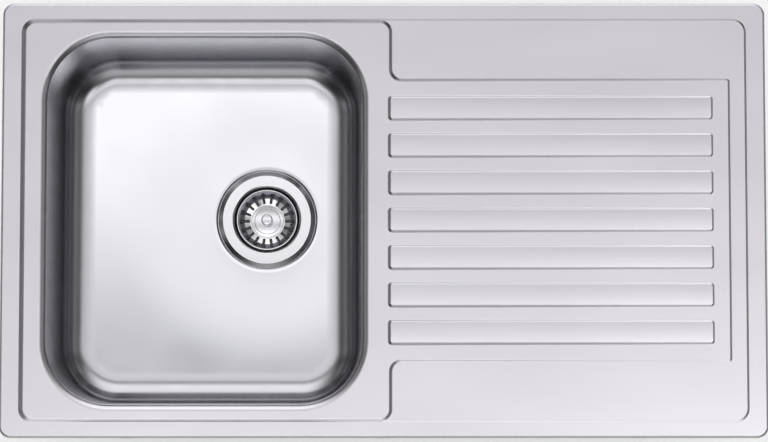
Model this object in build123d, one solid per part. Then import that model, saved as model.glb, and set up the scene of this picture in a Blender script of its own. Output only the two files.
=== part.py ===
from build123d import *
import os
from math import cos, radians, sin, tan

# Inset kitchen sink with one bowl, a ribbed drainboard and a basket strainer waste.
# All sizes are in millimetres. The origin is the middle of the outline on the worktop's face,
# +X runs along the drainboard, +Y to the rear and +Z up.

# ---- outline and sheet ----
sink_length = 860.0
sink_width = 490.0
outline_radius = 13.0
sheet = 0.8
edge_roll = 2.8
edge_gap = 0.2            # between the rolled edge and the worktop
rim_overlap = 10.0        # how far the border lies on the worktop

# ---- levels of the pressed sheet ----
border_level = 3.0
ledge_level = 1.4
wet_level = -2.2          # round the bowl
drain_high_level = -0.2   # at the drainboard's far end
rib_level = 1.2
step_draft = 35.0         # degrees from the vertical

# ---- border and contours of the steps ----
border_side = 21.9
border_front = 17.9
field_radius = 15.0
contour_radius = 14.0
drain_corner_radius = 4.5
drain_end_strip = 21.0    # ledge between drainboard and border
bowl_to_drain = 22.5      # from the bowl's opening to the ledge

# ---- drainboard ribs ----
rib_count = 7
rib_width = 25.8
rib_gap = 16.4
rib_side_margin = 17.4    # outermost rib to the drainboard's step
rib_end_margin = 16.8
rib_corner_radius = 2.5

# ---- bowl ----
bowl_opening_length = 372.0
bowl_side_margin = 20.1   # border to the bowl's opening
bowl_front_margin = 12.1
lip_radius = 8.0
opening_radius = 80.0
bowl_depth = 160.0        # from the worktop's face
bowl_draft = 3.0
bowl_floor_radius = 28.0

# ---- waste: hole, recess and flange ----
waste_from_bowl = 65.0    # from the bowl's middle, towards the drainboard
waste_to_rear = 14.6
waste_hole_radius = 45.0
recess_depth = 2.0
recess_gap = 0.5          # round the flange
flange_radius = 56.7
flange_edge_width = 5.2
flange_rise = 1.2         # of the flange's face over the bowl's floor
flange_edge_gap = 0.3
cup_radius = 38.0
cup_bend = 3.0
cup_taper = 1.5
cup_outlet_radius = 17.0
cup_spoke_width = 5.0
cup_hub_radius = 9.0

# ---- waste: gaskets, body and screw ----
gasket_ring_width = 6.0
gasket_hole_gap = 1.0     # gaskets stand back from the waste hole
gasket_edge_gap = 1.0     # and from the flange's sloping edge
lower_gasket_height = 3.0
body_wall = 3.0
body_rim_width = 10.0
body_cup_height = 31.0
body_cone_height = 12.0
outlet_radius = 23.9      # a 1 1/2 inch thread's outside
outlet_wall = 4.4
outlet_length = 36.0
outlet_collar_height = 4.0
outlet_collar_width = 3.0
spider_height = 8.0
spider_rib_width = 5.0
spider_count = 3
hub_radius = 9.0
hub_height = 22.0
hub_gap = 2.0             # between the strainer cup and the spider's hub
insert_radius = 6.0
insert_height = 16.0
insert_sink = 1.0         # below the hub's top
insert_groove_depth = 0.6
insert_groove_height = 3.2
screw_radius = 4.0
screw_gap = 0.05
screw_clearance = 0.5     # round the screw below the insert
centre_screw_length = 24.0
centre_head_radius = 6.5
centre_head_height = 2.0
centre_slot_width = 1.6

# ---- waste: basket ----
basket_sheet = 0.6
basket_rim_radius = 35.2
basket_rim_drop = 2.5     # below the bowl's floor
basket_rim_width = 1.2
basket_wall_foot_radius = 28.0
basket_wall_height = 17.0
basket_cone_height = 3.5
basket_floor_radius = 20.0
slot_count = 18
slot_width = 3.4
slot_inner_radius = 20.6
slot_top_margin = 4.5     # below the basket's rim
disc_radius = 19.0
disc_height = 1.5
disc_step_radius = 15.0
disc_step_height = 1.0
knob_radius = 6.6
knob_height = 11.0
knob_neck_radius = 3.6
knob_neck_height = 9.0
knob_groove_depth = 0.6
knob_groove_height = 1.4
knob_edge_radius = 1.0
stem_radius = 2.3
stem_gap = 0.3            # round the stem, in the screw
stem_length = 15.0        # below the basket's floor
catch_gap = 0.05          # between the catch ring and the screw's bore
catch_height = 1.2
catch_groove_depth = 0.5
catch_from_end = 3.0
seal_radius = 22.0
seal_height = 3.0
seal_inner_radius = 10.0
seal_lip_height = 1.0
seal_lip_from_outlet = 1.0
seat_gap = 0.3

# ---- fixing rails, hangers and clamps ----
strip = 1.2               # rail sheet
rail_from_cutout = 5.3    # rail's outer face to the worktop's cut edge
rail_flange = 5.8
rail_height = 19.2
rail_end_gap = 40.0       # from the sink's outline
rail_bend = 0.6
slot_drop = 9.2           # rail's top to the hanger slots
rail_slot_height = 5.0
rail_slot_width = 4.4
rail_slot_spread = 10.0   # between the two slots of a clamp
hanger_sheet = 1.5
hanger_width = 18.0
hanger_gap = 0.2
hanger_above_slot = 3.0
screw_tip_gap = 1.1       # below the sheet, with the claws fully up
hanger_foot = 16.8
hanger_bend = 0.8
hook_width = 3.8
hook_height = 3.0
hook_drop = 3.2
guide_slot_gap = 0.4
clamp_inset = 140.0       # end clamps from the sink's outline
screw_inset = 16.0        # clamp screw from the worktop's cut edge
clamp_screw_radius = 2.5
clamp_screw_gap = 0.25
thread_gap = 0.05
clamp_screw_pitch = 0.8
clamp_turns = 18
clamp_open = 44.0         # worktop thickness with the claws fully down
nut_size = 8.0
nut_height = 4.0
nut_corner_radius = 0.6
screw_tip_chamfer = 0.5
head_across = 8.0
head_height = 3.5
head_slot_width = 1.2
head_slot_depth = 1.6
claw_sheet = 2.5
claw_leg_sheet = 2.0
claw_width = 16.0
claw_leg_width = 8.0
claw_reach = 9.0          # below the worktop
claw_toe_height = 3.0
claw_toe_width = 2.5
claw_leg_inset = 22.0     # leg's middle from the worktop's cut edge
claw_leg_over = 2.0       # leg's top over the hanger's foot, fully down
tooth_count = 4
tooth_depth = 1.2

# ---- clamped sides: outward direction in degrees from +X ----
front_angle = -90.0
rear_angle = 90.0
left_angle = 180.0
right_angle = 0.0

# ---- foam strip and sound pads ----
seal_from_cutout = 0.5
seal_edge_gap = 0.2       # to the border's rolled edge
pad_height = 2.5
pad_radius = 12.0
bowl_pad_length = 118.0
bowl_pad_end_margin = 18.0
bowl_pad_side_margin = 48.0
drainer_pad_margin = 34.0

# ---- modelling allowances ----
past = 1.0                # how far a cutting shape runs past a face
level_band = 0.1          # for finding the edges that lie at a level

# ---- values that follow ----
half_length = sink_length / 2
half_width = sink_width / 2
field_x = half_length - border_side
field_y = half_width - border_front
slope = tan(radians(step_draft))
opening_left = -field_x + bowl_side_margin
opening_right = opening_left + bowl_opening_length
opening_y = field_y - bowl_front_margin
bowl_x = (opening_left + opening_right) / 2
bowl_half_x = bowl_opening_length / 2 - lip_radius
bowl_half_y = opening_y - lip_radius
drain_start = opening_right + bowl_to_drain
drain_end = field_x - drain_end_strip
drain_y = (rib_count * rib_width + (rib_count - 1) * rib_gap) / 2 + rib_side_margin
rib_end = drain_end - rib_end_margin
weld_level = wet_level - lip_radius
form_base = weld_level - lip_radius
cutout_x = half_length - rim_overlap
cutout_y = half_width - rim_overlap

floor = -bowl_depth
waste_x = bowl_x + waste_from_bowl
waste_y = waste_to_rear
flange_face = floor + flange_rise
recess_radius = flange_radius + recess_gap
recess_floor = floor - recess_depth
cup_floor = floor - basket_rim_drop - basket_wall_height - basket_cone_height
cup_floor = cup_floor - basket_sheet - seal_height - seat_gap
gasket_inner = waste_hole_radius + gasket_hole_gap
gasket_outer = gasket_inner + gasket_ring_width
upper_gasket_outer = flange_radius - flange_edge_width - gasket_edge_gap
gasket_base = recess_floor - sheet - lower_gasket_height
body_inner = waste_hole_radius - body_wall
hub_top = cup_floor - sheet - hub_gap
body_floor = gasket_base - body_wall - body_cup_height
outlet_top = body_floor - body_cone_height
outlet_bore = outlet_radius - outlet_wall
basket_rim = floor - basket_rim_drop
basket_floor = basket_rim - basket_wall_height - basket_cone_height
basket_base = basket_floor - basket_sheet
disc_top = basket_floor + disc_height + disc_step_height
stem_bore = stem_radius + stem_gap
stem_end = basket_base - stem_length
catch_foot = stem_end + catch_from_end
insert_top = hub_top - insert_sink

seal_width = rim_overlap - edge_roll - seal_from_cutout - seal_edge_gap
rail_top = border_level - sheet
rail_outer = -rail_from_cutout
rail_inner = rail_outer - strip
slot_floor = rail_top - slot_drop - rail_slot_height
hanger_outer = rail_inner - hanger_gap
hanger_inner = hanger_outer - hanger_sheet
claw_travel = clamp_turns * clamp_screw_pitch
nut_top = wet_level - sheet - screw_tip_gap - claw_travel
hanger_foot_top = nut_top - nut_height
claw_leg_outer = -claw_leg_inset + claw_leg_sheet / 2
claw_leg_inner = -claw_leg_inset - claw_leg_sheet / 2
claw_base_top = -clamp_open - claw_toe_height
claw_base = claw_base_top - claw_sheet
claw_leg_top = hanger_foot_top + claw_leg_over

# Outward direction of each clamped side, and its distance from the middle
sides = {
    "front": (front_angle, cutout_y),
    "rear": (rear_angle, cutout_y),
    "left": (left_angle, cutout_x),
    "right": (right_angle, cutout_x),
}
end_clamp = half_length - clamp_inset
clamp_places = {
    "front_left": ("front", -end_clamp),
    "front_middle": ("front", 0),
    "front_right": ("front", end_clamp),
    "rear_left": ("rear", end_clamp),
    "rear_middle": ("rear", 0),
    "rear_right": ("rear", -end_clamp),
    "left": ("left", 0),
    "right": ("right", 0),
}


# ---- helpers ----
def block(x0, x1, y0, y1, z0, z1):
    """A box between two corners."""
    size = (x1 - x0, y1 - y0, z1 - z0)
    middle = ((x0 + x1) / 2, (y0 + y1) / 2, (z0 + z1) / 2)
    return Pos(*middle) * Box(*size)


def tube(outer, inner, z0, z1):
    """A ring about the vertical axis."""
    ring = Circle(outer) - Circle(inner) if inner else Circle(outer)
    return Pos(0, 0, z0) * extrude(ring, z1 - z0)


def turned(outline):
    """A face in the XZ plane, turned about the vertical axis."""
    return revolve(Plane.XZ * outline, Axis.Z)


def wall_shift(draft, sink):
    """How far a drafted wall stands back at the foot of a surface that is sunk by sink."""
    return sink * (1 - sin(radians(draft))) / cos(radians(draft))


def strip_outline(points, thickness, bend):
    """The face of a bent strip that lies to the right of the line through points."""
    line = [Vector(*p) for p in points]
    ways = [(b - a).normalized() for a, b in zip(line, line[1:])]
    sides_of = [Vector(w.Y, -w.X) for w in ways]
    other = [line[0] + sides_of[0] * thickness]
    left_bends = []
    right_bends = []
    for i in range(1, len(line) - 1):
        a = sides_of[i - 1]
        b = sides_of[i]
        other.append(line[i] + (a + b) * (thickness / (1 + a.dot(b))))
        turns_left = ways[i - 1].cross(ways[i]).Z > 0
        left_bends.append(bend if turns_left else bend + thickness)
        right_bends.append(bend + thickness if turns_left else bend)
    other.append(line[-1] + sides_of[-1] * thickness)
    bends = [0] + left_bends + [0, 0] + right_bends[::-1] + [0]
    edge = FilletPolyline(*(line + other[::-1]), radius=bends, close=True)
    return make_face(edge)


def on_side(shape, side, along):
    """Move a piece drawn at the worktop's cut edge, +X outward, to a side of the sink."""
    angle, distance = sides[side]
    return Rot(0, 0, angle) * Pos(distance, along, 0) * shape


# ---- pressed sheet ----
def wet_outline(level, sink):
    """The sunk area's contour at a level: round the bowl, and along the drainboard."""
    out = (level - wet_level + sink) * slope + wall_shift(step_draft, sink)
    foot = (border_level - wet_level) * slope
    left = -field_x + foot - out
    step = drain_start + out
    right = drain_end + out
    far = field_y - foot + out
    near = drain_y + out
    corners = [
        (left, -far, field_radius - foot + out),
        (step, -far, contour_radius - foot + out),
        (step, -near, contour_radius - out),
        (right, -near, drain_corner_radius - foot + out),
    ]
    corners += [(x, -y, radius) for x, y, radius in reversed(corners)]
    points = [(x, y) for x, y, radius in corners]
    radii = [radius for x, y, radius in corners]
    edge = FilletPolyline(*points, radius=radii, close=True)
    return Pos(0, 0, level) * make_face(edge)


def field_outline(level, sink):
    """The contour inside the border, right of the bowl."""
    out = (level - ledge_level + sink) * slope + wall_shift(step_draft, sink)
    foot = (border_level - ledge_level) * slope
    x0 = drain_start - contour_radius - border_side
    x1 = field_x - foot + out
    y1 = field_y - foot + out
    outline = Pos((x0 + x1) / 2, 0) * Rectangle(x1 - x0, 2 * y1)
    right = outline.vertices().sort_by(Axis.X)[-2:]
    return Pos(0, 0, level) * fillet(right, field_radius - foot + out)


def rib_outline(level, sink):
    """A rib's contour at a level, wider towards its foot."""
    out = (rib_level - sink - level) * slope - wall_shift(step_draft, sink)
    top_inset = (rib_level - drain_high_level) * slope
    length = rib_end - drain_start - 2 * top_inset + 2 * out
    width = rib_width - 2 * top_inset + 2 * out
    middle = (drain_start + rib_end) / 2
    return Pos(middle, 0, level) * RectangleRounded(length, width, rib_corner_radius + out)


def bowl_outline(grow):
    """The bowl's inside contour, larger by grow all round."""
    length = 2 * (bowl_half_x + grow)
    width = 2 * (bowl_half_y + grow)
    return Pos(bowl_x, 0) * RectangleRounded(length, width, opening_radius - lip_radius + grow)


def drain_floor(x):
    """The drainboard's level at x, falling towards the bowl."""
    fall = (drain_high_level - wet_level) / (drain_end - drain_start)
    return wet_level + (x - drain_start) * fall


def rib_middles():
    """The ribs' places across the drainboard."""
    pitch = rib_width + rib_gap
    return [(i - (rib_count - 1) / 2) * pitch for i in range(rib_count)]


def pressed_form(sink):
    """All that lies under the pressed surface, with the surface sunk by sink."""
    outline = RectangleRounded(sink_length - 2 * sink, sink_width - 2 * sink, outline_radius - sink)
    form = Pos(0, 0, form_base) * extrude(outline, border_level - sink - form_base)
    top = form.faces().sort_by(Axis.Z)[-1]
    form = fillet(top.edges(), edge_roll - sink)

    over = border_level + past
    field_foot = ledge_level - sink
    form -= loft([field_outline(field_foot, sink), field_outline(over, sink)], ruled=True)
    wet_foot = wet_level - sink
    form -= loft([wet_outline(wet_foot, sink), wet_outline(over, sink)], ruled=True)

    beyond = drain_end + drain_end_strip / 2
    wedge = Polyline(
        (drain_start, form_base),
        (drain_start, wet_foot),
        (beyond, drain_floor(beyond) - sink),
        (beyond, form_base),
        close=True,
    )
    wedge_side = drain_y + rib_side_margin
    form += extrude(Plane.XZ * make_face(wedge), wedge_side, both=True)

    rib = loft([rib_outline(form_base, sink), rib_outline(rib_level - sink, sink)], ruled=True)
    for y in rib_middles():
        form += Pos(0, y, 0) * rib

    opening = extrude(Pos(0, 0, form_base) * bowl_outline(sink), -form_base)
    form -= opening
    reach_x = bowl_half_x + lip_radius / 2
    reach_y = bowl_half_y + lip_radius / 2
    lip = form.edges().filter_by_position(Axis.Z, wet_foot - level_band, wet_foot + level_band)
    lip = lip.filter_by_position(Axis.X, bowl_x - reach_x, bowl_x + reach_x)
    lip = lip.filter_by_position(Axis.Y, -reach_y, reach_y)
    return fillet(lip, lip_radius - sink)


def make_deck():
    """The pressed sheet: its lip ends at the weld, its rolled edge just over the worktop."""
    deck = pressed_form(0) - pressed_form(sheet)
    deck &= block(-half_length, half_length, -half_width, half_width, weld_level, border_level)
    reach = half_length + rim_overlap
    skirt = block(-reach, reach, -reach, reach, weld_level - past, edge_gap)
    skirt -= block(-cutout_x, cutout_x, -cutout_y, cutout_y, weld_level - past, edge_gap)
    return deck - skirt


# ---- bowl ----
def bowl_cavity(sink):
    """The space that the bowl holds, grown by sink towards the sheet's other face."""
    lean = tan(radians(bowl_draft))
    top = Pos(0, 0, weld_level) * bowl_outline(sink)
    depth = weld_level - floor + sink
    foot = Pos(0, 0, floor - sink) * bowl_outline(sink - depth * lean)
    cavity = loft([foot, top], ruled=True)
    floor_edges = cavity.faces().sort_by(Axis.Z)[0].edges()
    cavity = fillet(floor_edges, bowl_floor_radius + sink)
    shift = wall_shift(45, sink)
    recess = Polyline(
        (0, recess_floor - sink),
        (recess_radius + shift, recess_floor - sink),
        (recess_radius + shift + 2 * recess_depth, recess_floor - sink + 2 * recess_depth),
        (0, recess_floor - sink + 2 * recess_depth),
        close=True,
    )
    return cavity + Pos(waste_x, waste_y, 0) * turned(make_face(recess))


def make_bowl():
    """The deep-drawn bowl, open at the weld and at the waste hole."""
    hole = tube(waste_hole_radius, 0, recess_floor - sheet - past, floor + past)
    return bowl_cavity(sheet) - bowl_cavity(0) - Pos(waste_x, waste_y, 0) * hole


# ---- waste ----
def make_flange():
    """The strainer flange with its cup, whose floor is open between three spokes."""
    edge_foot = recess_floor + flange_edge_gap + sheet
    cup_foot_radius = cup_radius - cup_taper
    points = [
        (flange_radius, edge_foot),
        (flange_radius - flange_edge_width, flange_face),
        (cup_radius, flange_face),
        (cup_foot_radius, cup_floor),
        (screw_radius + screw_gap, cup_floor),
    ]
    flange = turned(strip_outline(points[::-1], sheet, cup_bend))
    low = cup_floor - sheet - past
    high = cup_floor + past
    opened = tube(cup_outlet_radius, cup_hub_radius, low, high)
    half = cup_spoke_width / 2
    for i in range(spider_count):
        spoke = block(0, cup_outlet_radius + past, -half, half, low, high)
        opened -= Rot(0, 0, i * 360 / spider_count) * spoke
    return flange - opened


def make_waste_body():
    """The plastic body: rim, cup, cone, and the spider that holds the insert."""
    rim_base = gasket_base - body_wall
    shell = [
        (body_inner, gasket_base),
        (body_inner + body_rim_width, gasket_base),
        (body_inner + body_rim_width, rim_base),
        (waste_hole_radius, rim_base),
        (waste_hole_radius, body_floor),
        (outlet_radius, outlet_top),
        (outlet_bore, outlet_top),
        (outlet_bore, outlet_top + body_wall / 2),
        (body_inner, body_floor + body_wall / 2),
    ]
    body = turned(make_face(Polyline(*shell, close=True)))
    spider = tube(hub_radius, 0, hub_top - hub_height, hub_top)
    half = spider_rib_width / 2
    for i in range(spider_count):
        rib = block(0, body_inner + body_wall / 2, -half, half, hub_top - spider_height, hub_top)
        spider += Rot(0, 0, (i + 0.5) * 360 / spider_count) * rib
    socket = tube(insert_radius, 0, insert_top - insert_height, hub_top + past)
    tail = tube(screw_radius + screw_clearance, 0, hub_top - hub_height - past, hub_top)
    return body + spider - socket - tail


def make_outlet_pipe():
    """The outlet below the body's cone, with the collar over its thread."""
    pipe = tube(outlet_radius, outlet_bore, outlet_top - outlet_length, outlet_top)
    collar_foot = outlet_top - outlet_collar_height
    return pipe + tube(outlet_radius + outlet_collar_width, outlet_bore, collar_foot, outlet_top)


def make_insert():
    """The brass insert, with the groove that keeps it in the plastic."""
    insert = tube(insert_radius, screw_radius + screw_gap, insert_top - insert_height, insert_top)
    groove_foot = insert_top - (insert_height + insert_groove_height) / 2
    groove = tube(insert_radius + past, insert_radius - insert_groove_depth, groove_foot,
                  groove_foot + insert_groove_height)
    return insert - groove


def make_centre_screw():
    """The hollow screw, slotted across its head."""
    screw = tube(screw_radius, 0, cup_floor - centre_screw_length, cup_floor)
    screw += tube(centre_head_radius, 0, cup_floor, cup_floor + centre_head_height)
    half = centre_slot_width / 2
    over = cup_floor + centre_head_height + past
    slot = block(-centre_head_radius, centre_head_radius, -half, half,
                 cup_floor + centre_head_height / 2, over)
    return screw - slot - tube(stem_bore, 0, stem_end - catch_from_end, over)


def make_basket():
    """The basket: rim, steep wall, cone and floor, with slots from the wall to the floor."""
    points = [
        (stem_radius, basket_floor),
        (basket_floor_radius, basket_floor),
        (basket_wall_foot_radius, basket_floor + basket_cone_height),
        (basket_rim_radius - basket_rim_width, basket_rim),
        (basket_rim_radius, basket_rim),
    ]
    basket = turned(strip_outline(points, basket_sheet, basket_sheet))
    half = slot_width / 2
    for i in range(slot_count):
        slot = block(slot_inner_radius, basket_rim_radius + past, -half, half,
                     basket_base - past, basket_rim - slot_top_margin)
        basket -= Rot(0, 0, i * 360 / slot_count) * slot
    return basket


def make_disc():
    """The stepped disc on the basket's floor."""
    disc = tube(disc_radius, stem_radius, basket_floor, basket_floor + disc_height)
    disc += tube(disc_step_radius, stem_radius, basket_floor + disc_height, disc_top)
    return disc


def make_knob():
    """The knob on its neck, and the stem that goes down through basket and seal."""
    head_base = disc_top + knob_neck_height
    head_top = head_base + knob_height
    knob = tube(knob_radius, 0, head_base, head_top)
    knob = fillet(knob.edges(), knob_edge_radius)
    groove_foot = (head_base + head_top - knob_groove_height) / 2
    knob -= tube(knob_radius + past, knob_radius - knob_groove_depth, groove_foot,
                 groove_foot + knob_groove_height)
    knob += tube(knob_neck_radius, 0, disc_top, head_base)
    knob += tube(stem_radius, 0, stem_end, disc_top)
    return knob - tube(stem_radius + past, stem_radius - catch_groove_depth, catch_foot,
                       catch_foot + catch_height)


def make_catch():
    """The catch ring in the stem's groove."""
    return tube(stem_bore - catch_gap, stem_radius - catch_groove_depth, catch_foot,
                catch_foot + catch_height)


def make_basket_seal():
    """The rubber disc below the basket, with its lip towards the cup's floor."""
    base = basket_base - seal_height
    ring = tube(seal_radius, seal_inner_radius, base, basket_base)
    return ring - tube(cup_outlet_radius + seal_lip_from_outlet, 0, base - past,
                       base + seal_lip_height)


# ---- rails, hangers and clamps ----
def make_rail(side):
    """A rail below the border, with two slots for each clamp on its side."""
    length = sink_length if side in ("front", "rear") else sink_width
    half = length / 2 - rail_end_gap
    points = [
        (rail_inner, rail_top - rail_height),
        (rail_inner, rail_top),
        (rail_inner + rail_flange, rail_top),
    ]
    rail = extrude(Plane.XZ * strip_outline(points, strip, rail_bend), half, both=True)
    for clamped_side, along in clamp_places.values():
        if clamped_side == side:
            for hand in (-1, 1):
                y0 = along + (hand * rail_slot_spread - rail_slot_width) / 2
                rail -= block(rail_inner - past, rail_outer + past, y0, y0 + rail_slot_width,
                              slot_floor, slot_floor + rail_slot_height)
    return on_side(rail, side, 0)


def hanger():
    """A hanger: two hooks through the rail's slots, and a foot for the nut."""
    points = [
        (hanger_outer, slot_floor + hook_height + hanger_above_slot),
        (hanger_outer, hanger_foot_top - hanger_sheet),
        (hanger_outer - hanger_foot, hanger_foot_top - hanger_sheet),
    ]
    plate = extrude(Plane.XZ * strip_outline(points, hanger_sheet, hanger_bend),
                    hanger_width / 2, both=True)
    guide = claw_leg_width / 2 + guide_slot_gap
    low = hanger_foot_top - hanger_sheet - past
    high = hanger_foot_top + past
    plate -= block(claw_leg_inner - guide_slot_gap, claw_leg_outer + guide_slot_gap, -guide, guide,
                   low, high)
    plate -= Pos(-screw_inset, 0, 0) * tube(clamp_screw_radius + clamp_screw_gap, 0, low, high)
    lip = rail_outer + hanger_gap
    for hand in (-1, 1):
        y0 = (hand * rail_slot_spread - hook_width) / 2
        y1 = y0 + hook_width
        plate += block(hanger_inner, lip + strip, y0, y1, slot_floor, slot_floor + hook_height)
        plate += block(lip, lip + strip, y0, y1, slot_floor - hook_drop, slot_floor + hook_height)
    return plate


def nut():
    """A square nut on the hanger's foot."""
    plate = extrude(RectangleRounded(nut_size, nut_size, nut_corner_radius), nut_height)
    plate -= tube(clamp_screw_radius + thread_gap, 0, -past, nut_height + past)
    return Pos(-screw_inset, 0, hanger_foot_top) * plate


def claw():
    """A claw: its leg in the hanger's guide slot, its base on the screw's head, and a toothed toe."""
    half = claw_width / 2
    base = block(claw_leg_inner, claw_reach, -half, half, claw_base, claw_base_top)
    leg_half = claw_leg_width / 2
    leg = block(claw_leg_inner, claw_leg_outer, -leg_half, leg_half, claw_base, claw_leg_top)
    toe = block(claw_reach - claw_toe_width, claw_reach, -half, half, claw_base, -clamp_open)
    notch_count = tooth_count - 1
    notch_width = claw_width / (tooth_count + notch_count)
    for i in range(notch_count):
        y0 = -half + (2 * i + 1) * notch_width
        toe -= block(0, claw_reach + past, y0, y0 + notch_width, -clamp_open - tooth_depth,
                     -clamp_open + past)
    hole = tube(clamp_screw_radius + clamp_screw_gap, 0, claw_base - past, claw_base_top + past)
    return base + leg + toe - Pos(-screw_inset, 0, 0) * hole


def clamp_screw():
    """A hexagon screw with a slotted head, up through the claw into the nut."""
    head = extrude(RegularPolygon(head_across / 2, 6, major_radius=False), -head_height)
    head -= block(-head_across, head_across, -head_slot_width / 2, head_slot_width / 2,
                  -head_height - past, -head_height + head_slot_depth)
    shank = tube(clamp_screw_radius, 0, 0, nut_top - claw_base)
    shank = chamfer(shank.edges().sort_by(Axis.Z)[-1], screw_tip_chamfer)
    return Pos(-screw_inset, 0, claw_base) * (head + shank)


def group(shape):
    """One copy of a piece at each clamp's place, kept as separate solids."""
    copies = [on_side(shape, side, along) for side, along in clamp_places.values()]
    return Compound([copy.solid() for copy in copies])


# ---- foam strip and pads ----
def make_rim_seal():
    """The foam strip between the border and the worktop."""
    inner_x = cutout_x + seal_from_cutout
    inner_y = cutout_y + seal_from_cutout
    inner_radius = outline_radius - rim_overlap + seal_from_cutout
    ring = RectangleRounded(2 * (inner_x + seal_width), 2 * (inner_y + seal_width),
                            inner_radius + seal_width)
    ring -= RectangleRounded(2 * inner_x, 2 * inner_y, inner_radius)
    return extrude(ring, border_level - sheet)


def make_bowl_pad():
    """The pad glued below the bowl, beside the waste."""
    x0 = bowl_x - bowl_half_x + bowl_floor_radius + bowl_pad_end_margin
    width = 2 * (bowl_half_y - bowl_pad_side_margin)
    pad = extrude(RectangleRounded(bowl_pad_length, width, pad_radius), pad_height)
    return Pos(x0 + bowl_pad_length / 2, 0, floor - sheet - pad_height) * pad


def make_drainer_pad():
    """The pad glued below the drainboard, on the same fall."""
    x0 = drain_start + drainer_pad_margin
    x1 = rib_end - drainer_pad_margin
    z0 = drain_floor(x0) - sheet
    z1 = drain_floor(x1) - sheet
    slab = Polyline((x0, z0), (x1, z1), (x1, z1 - pad_height), (x0, z0 - pad_height), close=True)
    pad = extrude(Plane.XZ * make_face(slab), drain_y - drainer_pad_margin, both=True)
    return fillet(pad.edges().filter_by(Axis.Z), pad_radius)


# ---- the pieces, each in its place ----
at_waste = Pos(waste_x, waste_y, 0)
pieces = {
    "sink_deck": make_deck(),
    "sink_bowl": make_bowl(),
    "bowl_sound_pad": make_bowl_pad(),
    "drainer_sound_pad": make_drainer_pad(),
    "rim_seal": make_rim_seal(),
    "clamp_hangers": group(hanger()),
    "clamp_nuts": group(nut()),
    "waste_flange": at_waste * make_flange(),
    "waste_upper_gasket": at_waste * tube(upper_gasket_outer, gasket_inner, recess_floor,
                                          flange_face - sheet),
    "waste_lower_gasket": at_waste * tube(gasket_outer, gasket_inner, gasket_base,
                                          recess_floor - sheet),
    "waste_body": at_waste * make_waste_body(),
    "waste_outlet_pipe": at_waste * make_outlet_pipe(),
    "waste_insert": at_waste * make_insert(),
    "waste_centre_screw": at_waste * make_centre_screw(),
    "basket": at_waste * make_basket(),
    "basket_disc": at_waste * make_disc(),
    "basket_knob": at_waste * make_knob(),
    "basket_catch": at_waste * make_catch(),
    "basket_seal": at_waste * make_basket_seal(),
}
for side in sides:
    pieces["fixing_rail_" + side] = make_rail(side)
for place, (side, along) in clamp_places.items():
    pieces["clamp_claw_" + place] = on_side(claw(), side, along)
    pieces["clamp_screw_" + place] = on_side(clamp_screw(), side, along)

os.makedirs("parts", exist_ok=True)
for name, shape in pieces.items():
    export_step(shape, "parts/" + name + ".step")
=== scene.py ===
import math

import bmesh
import bpy
import numpy as np
from mathutils import Matrix, Vector
from mathutils.geometry import delaunay_2d_cdt


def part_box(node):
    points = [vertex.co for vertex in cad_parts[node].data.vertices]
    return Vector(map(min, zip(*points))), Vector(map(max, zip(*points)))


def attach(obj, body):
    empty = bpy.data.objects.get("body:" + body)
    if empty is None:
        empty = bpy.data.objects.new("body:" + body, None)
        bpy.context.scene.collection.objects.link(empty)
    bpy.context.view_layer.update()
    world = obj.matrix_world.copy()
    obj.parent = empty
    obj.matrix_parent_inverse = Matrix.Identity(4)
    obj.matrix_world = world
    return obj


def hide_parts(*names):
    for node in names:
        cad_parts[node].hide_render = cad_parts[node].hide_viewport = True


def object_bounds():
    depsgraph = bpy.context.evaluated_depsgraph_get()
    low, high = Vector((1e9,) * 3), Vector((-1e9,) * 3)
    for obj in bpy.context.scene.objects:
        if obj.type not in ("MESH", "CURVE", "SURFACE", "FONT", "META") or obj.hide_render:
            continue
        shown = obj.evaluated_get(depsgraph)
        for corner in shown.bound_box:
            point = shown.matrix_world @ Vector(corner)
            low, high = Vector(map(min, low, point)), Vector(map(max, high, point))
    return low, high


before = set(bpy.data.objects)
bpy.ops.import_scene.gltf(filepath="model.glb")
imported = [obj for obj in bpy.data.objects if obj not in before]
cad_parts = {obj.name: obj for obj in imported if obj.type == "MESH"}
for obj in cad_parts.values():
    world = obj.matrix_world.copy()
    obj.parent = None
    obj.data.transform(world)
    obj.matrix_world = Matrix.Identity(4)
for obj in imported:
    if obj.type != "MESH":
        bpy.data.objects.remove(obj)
cad_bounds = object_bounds()

bl_info = {
    "name": "Kitchen sink with drainboard",
    "version": (1, 0, 0),
    "blender": (4, 5, 0),
    "location": "View3D > Sidebar > Sink",
    "description": "Builds the looks of an inset stainless steel sink round its packed solids",
    "category": "Add Mesh",
}

MM = 0.001
SIDES = ["front", "rear", "left", "right"]
PLACES = ["front_left", "front_middle", "front_right", "rear_left", "rear_middle", "rear_right",
          "left", "right"]

# How fine an outline is: steps in each corner, and millimetres between the points of its sides
EDGE_MESH = (14, 14)
LIP_MESH = (28, 14)
CONTOUR_MESH = (12, 12)
RIB_MESH = (8, 12)
SLOT_MESH = (6, 1.5)
# How far out from an outline, in millimetres, rings of points follow its press bends
CONTOUR_RINGS = np.arange(1.75, -5.9, -0.35)
BORDER_RINGS = np.arange(1.75, -2.9, -0.35)
RIB_RINGS = np.arange(-2.38, 3.6, 0.34)
# Radii, in millimetres, at which rings of points cross the basket's slots
SLOT_RINGS = np.arange(22, 34, 1.5)
# Millimetres between the points along and across the ribbed ground, on a crown and on the floor
PATCH_ALONG = 12
PATCH_ACROSS = 8
CROWN_STEP = 3.5
FLOOR_STEP = 9
# Where the bowl's drawing marks and its painted wall shade start, in millimetres from the floor's flat, and
# over what width
MARKS_AND_SHADE_START = -7
MARKS_AND_SHADE_BLEND = 9
# Steps down the rolled edge and down the lip
EDGE_STEPS = 9
LIP_STEPS = 15
# Points round the recess, the flange and the hole for its screw
RECESS_STEPS = 120
FLANGE_STEPS = 144
HOLE_STEPS = 32
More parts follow.
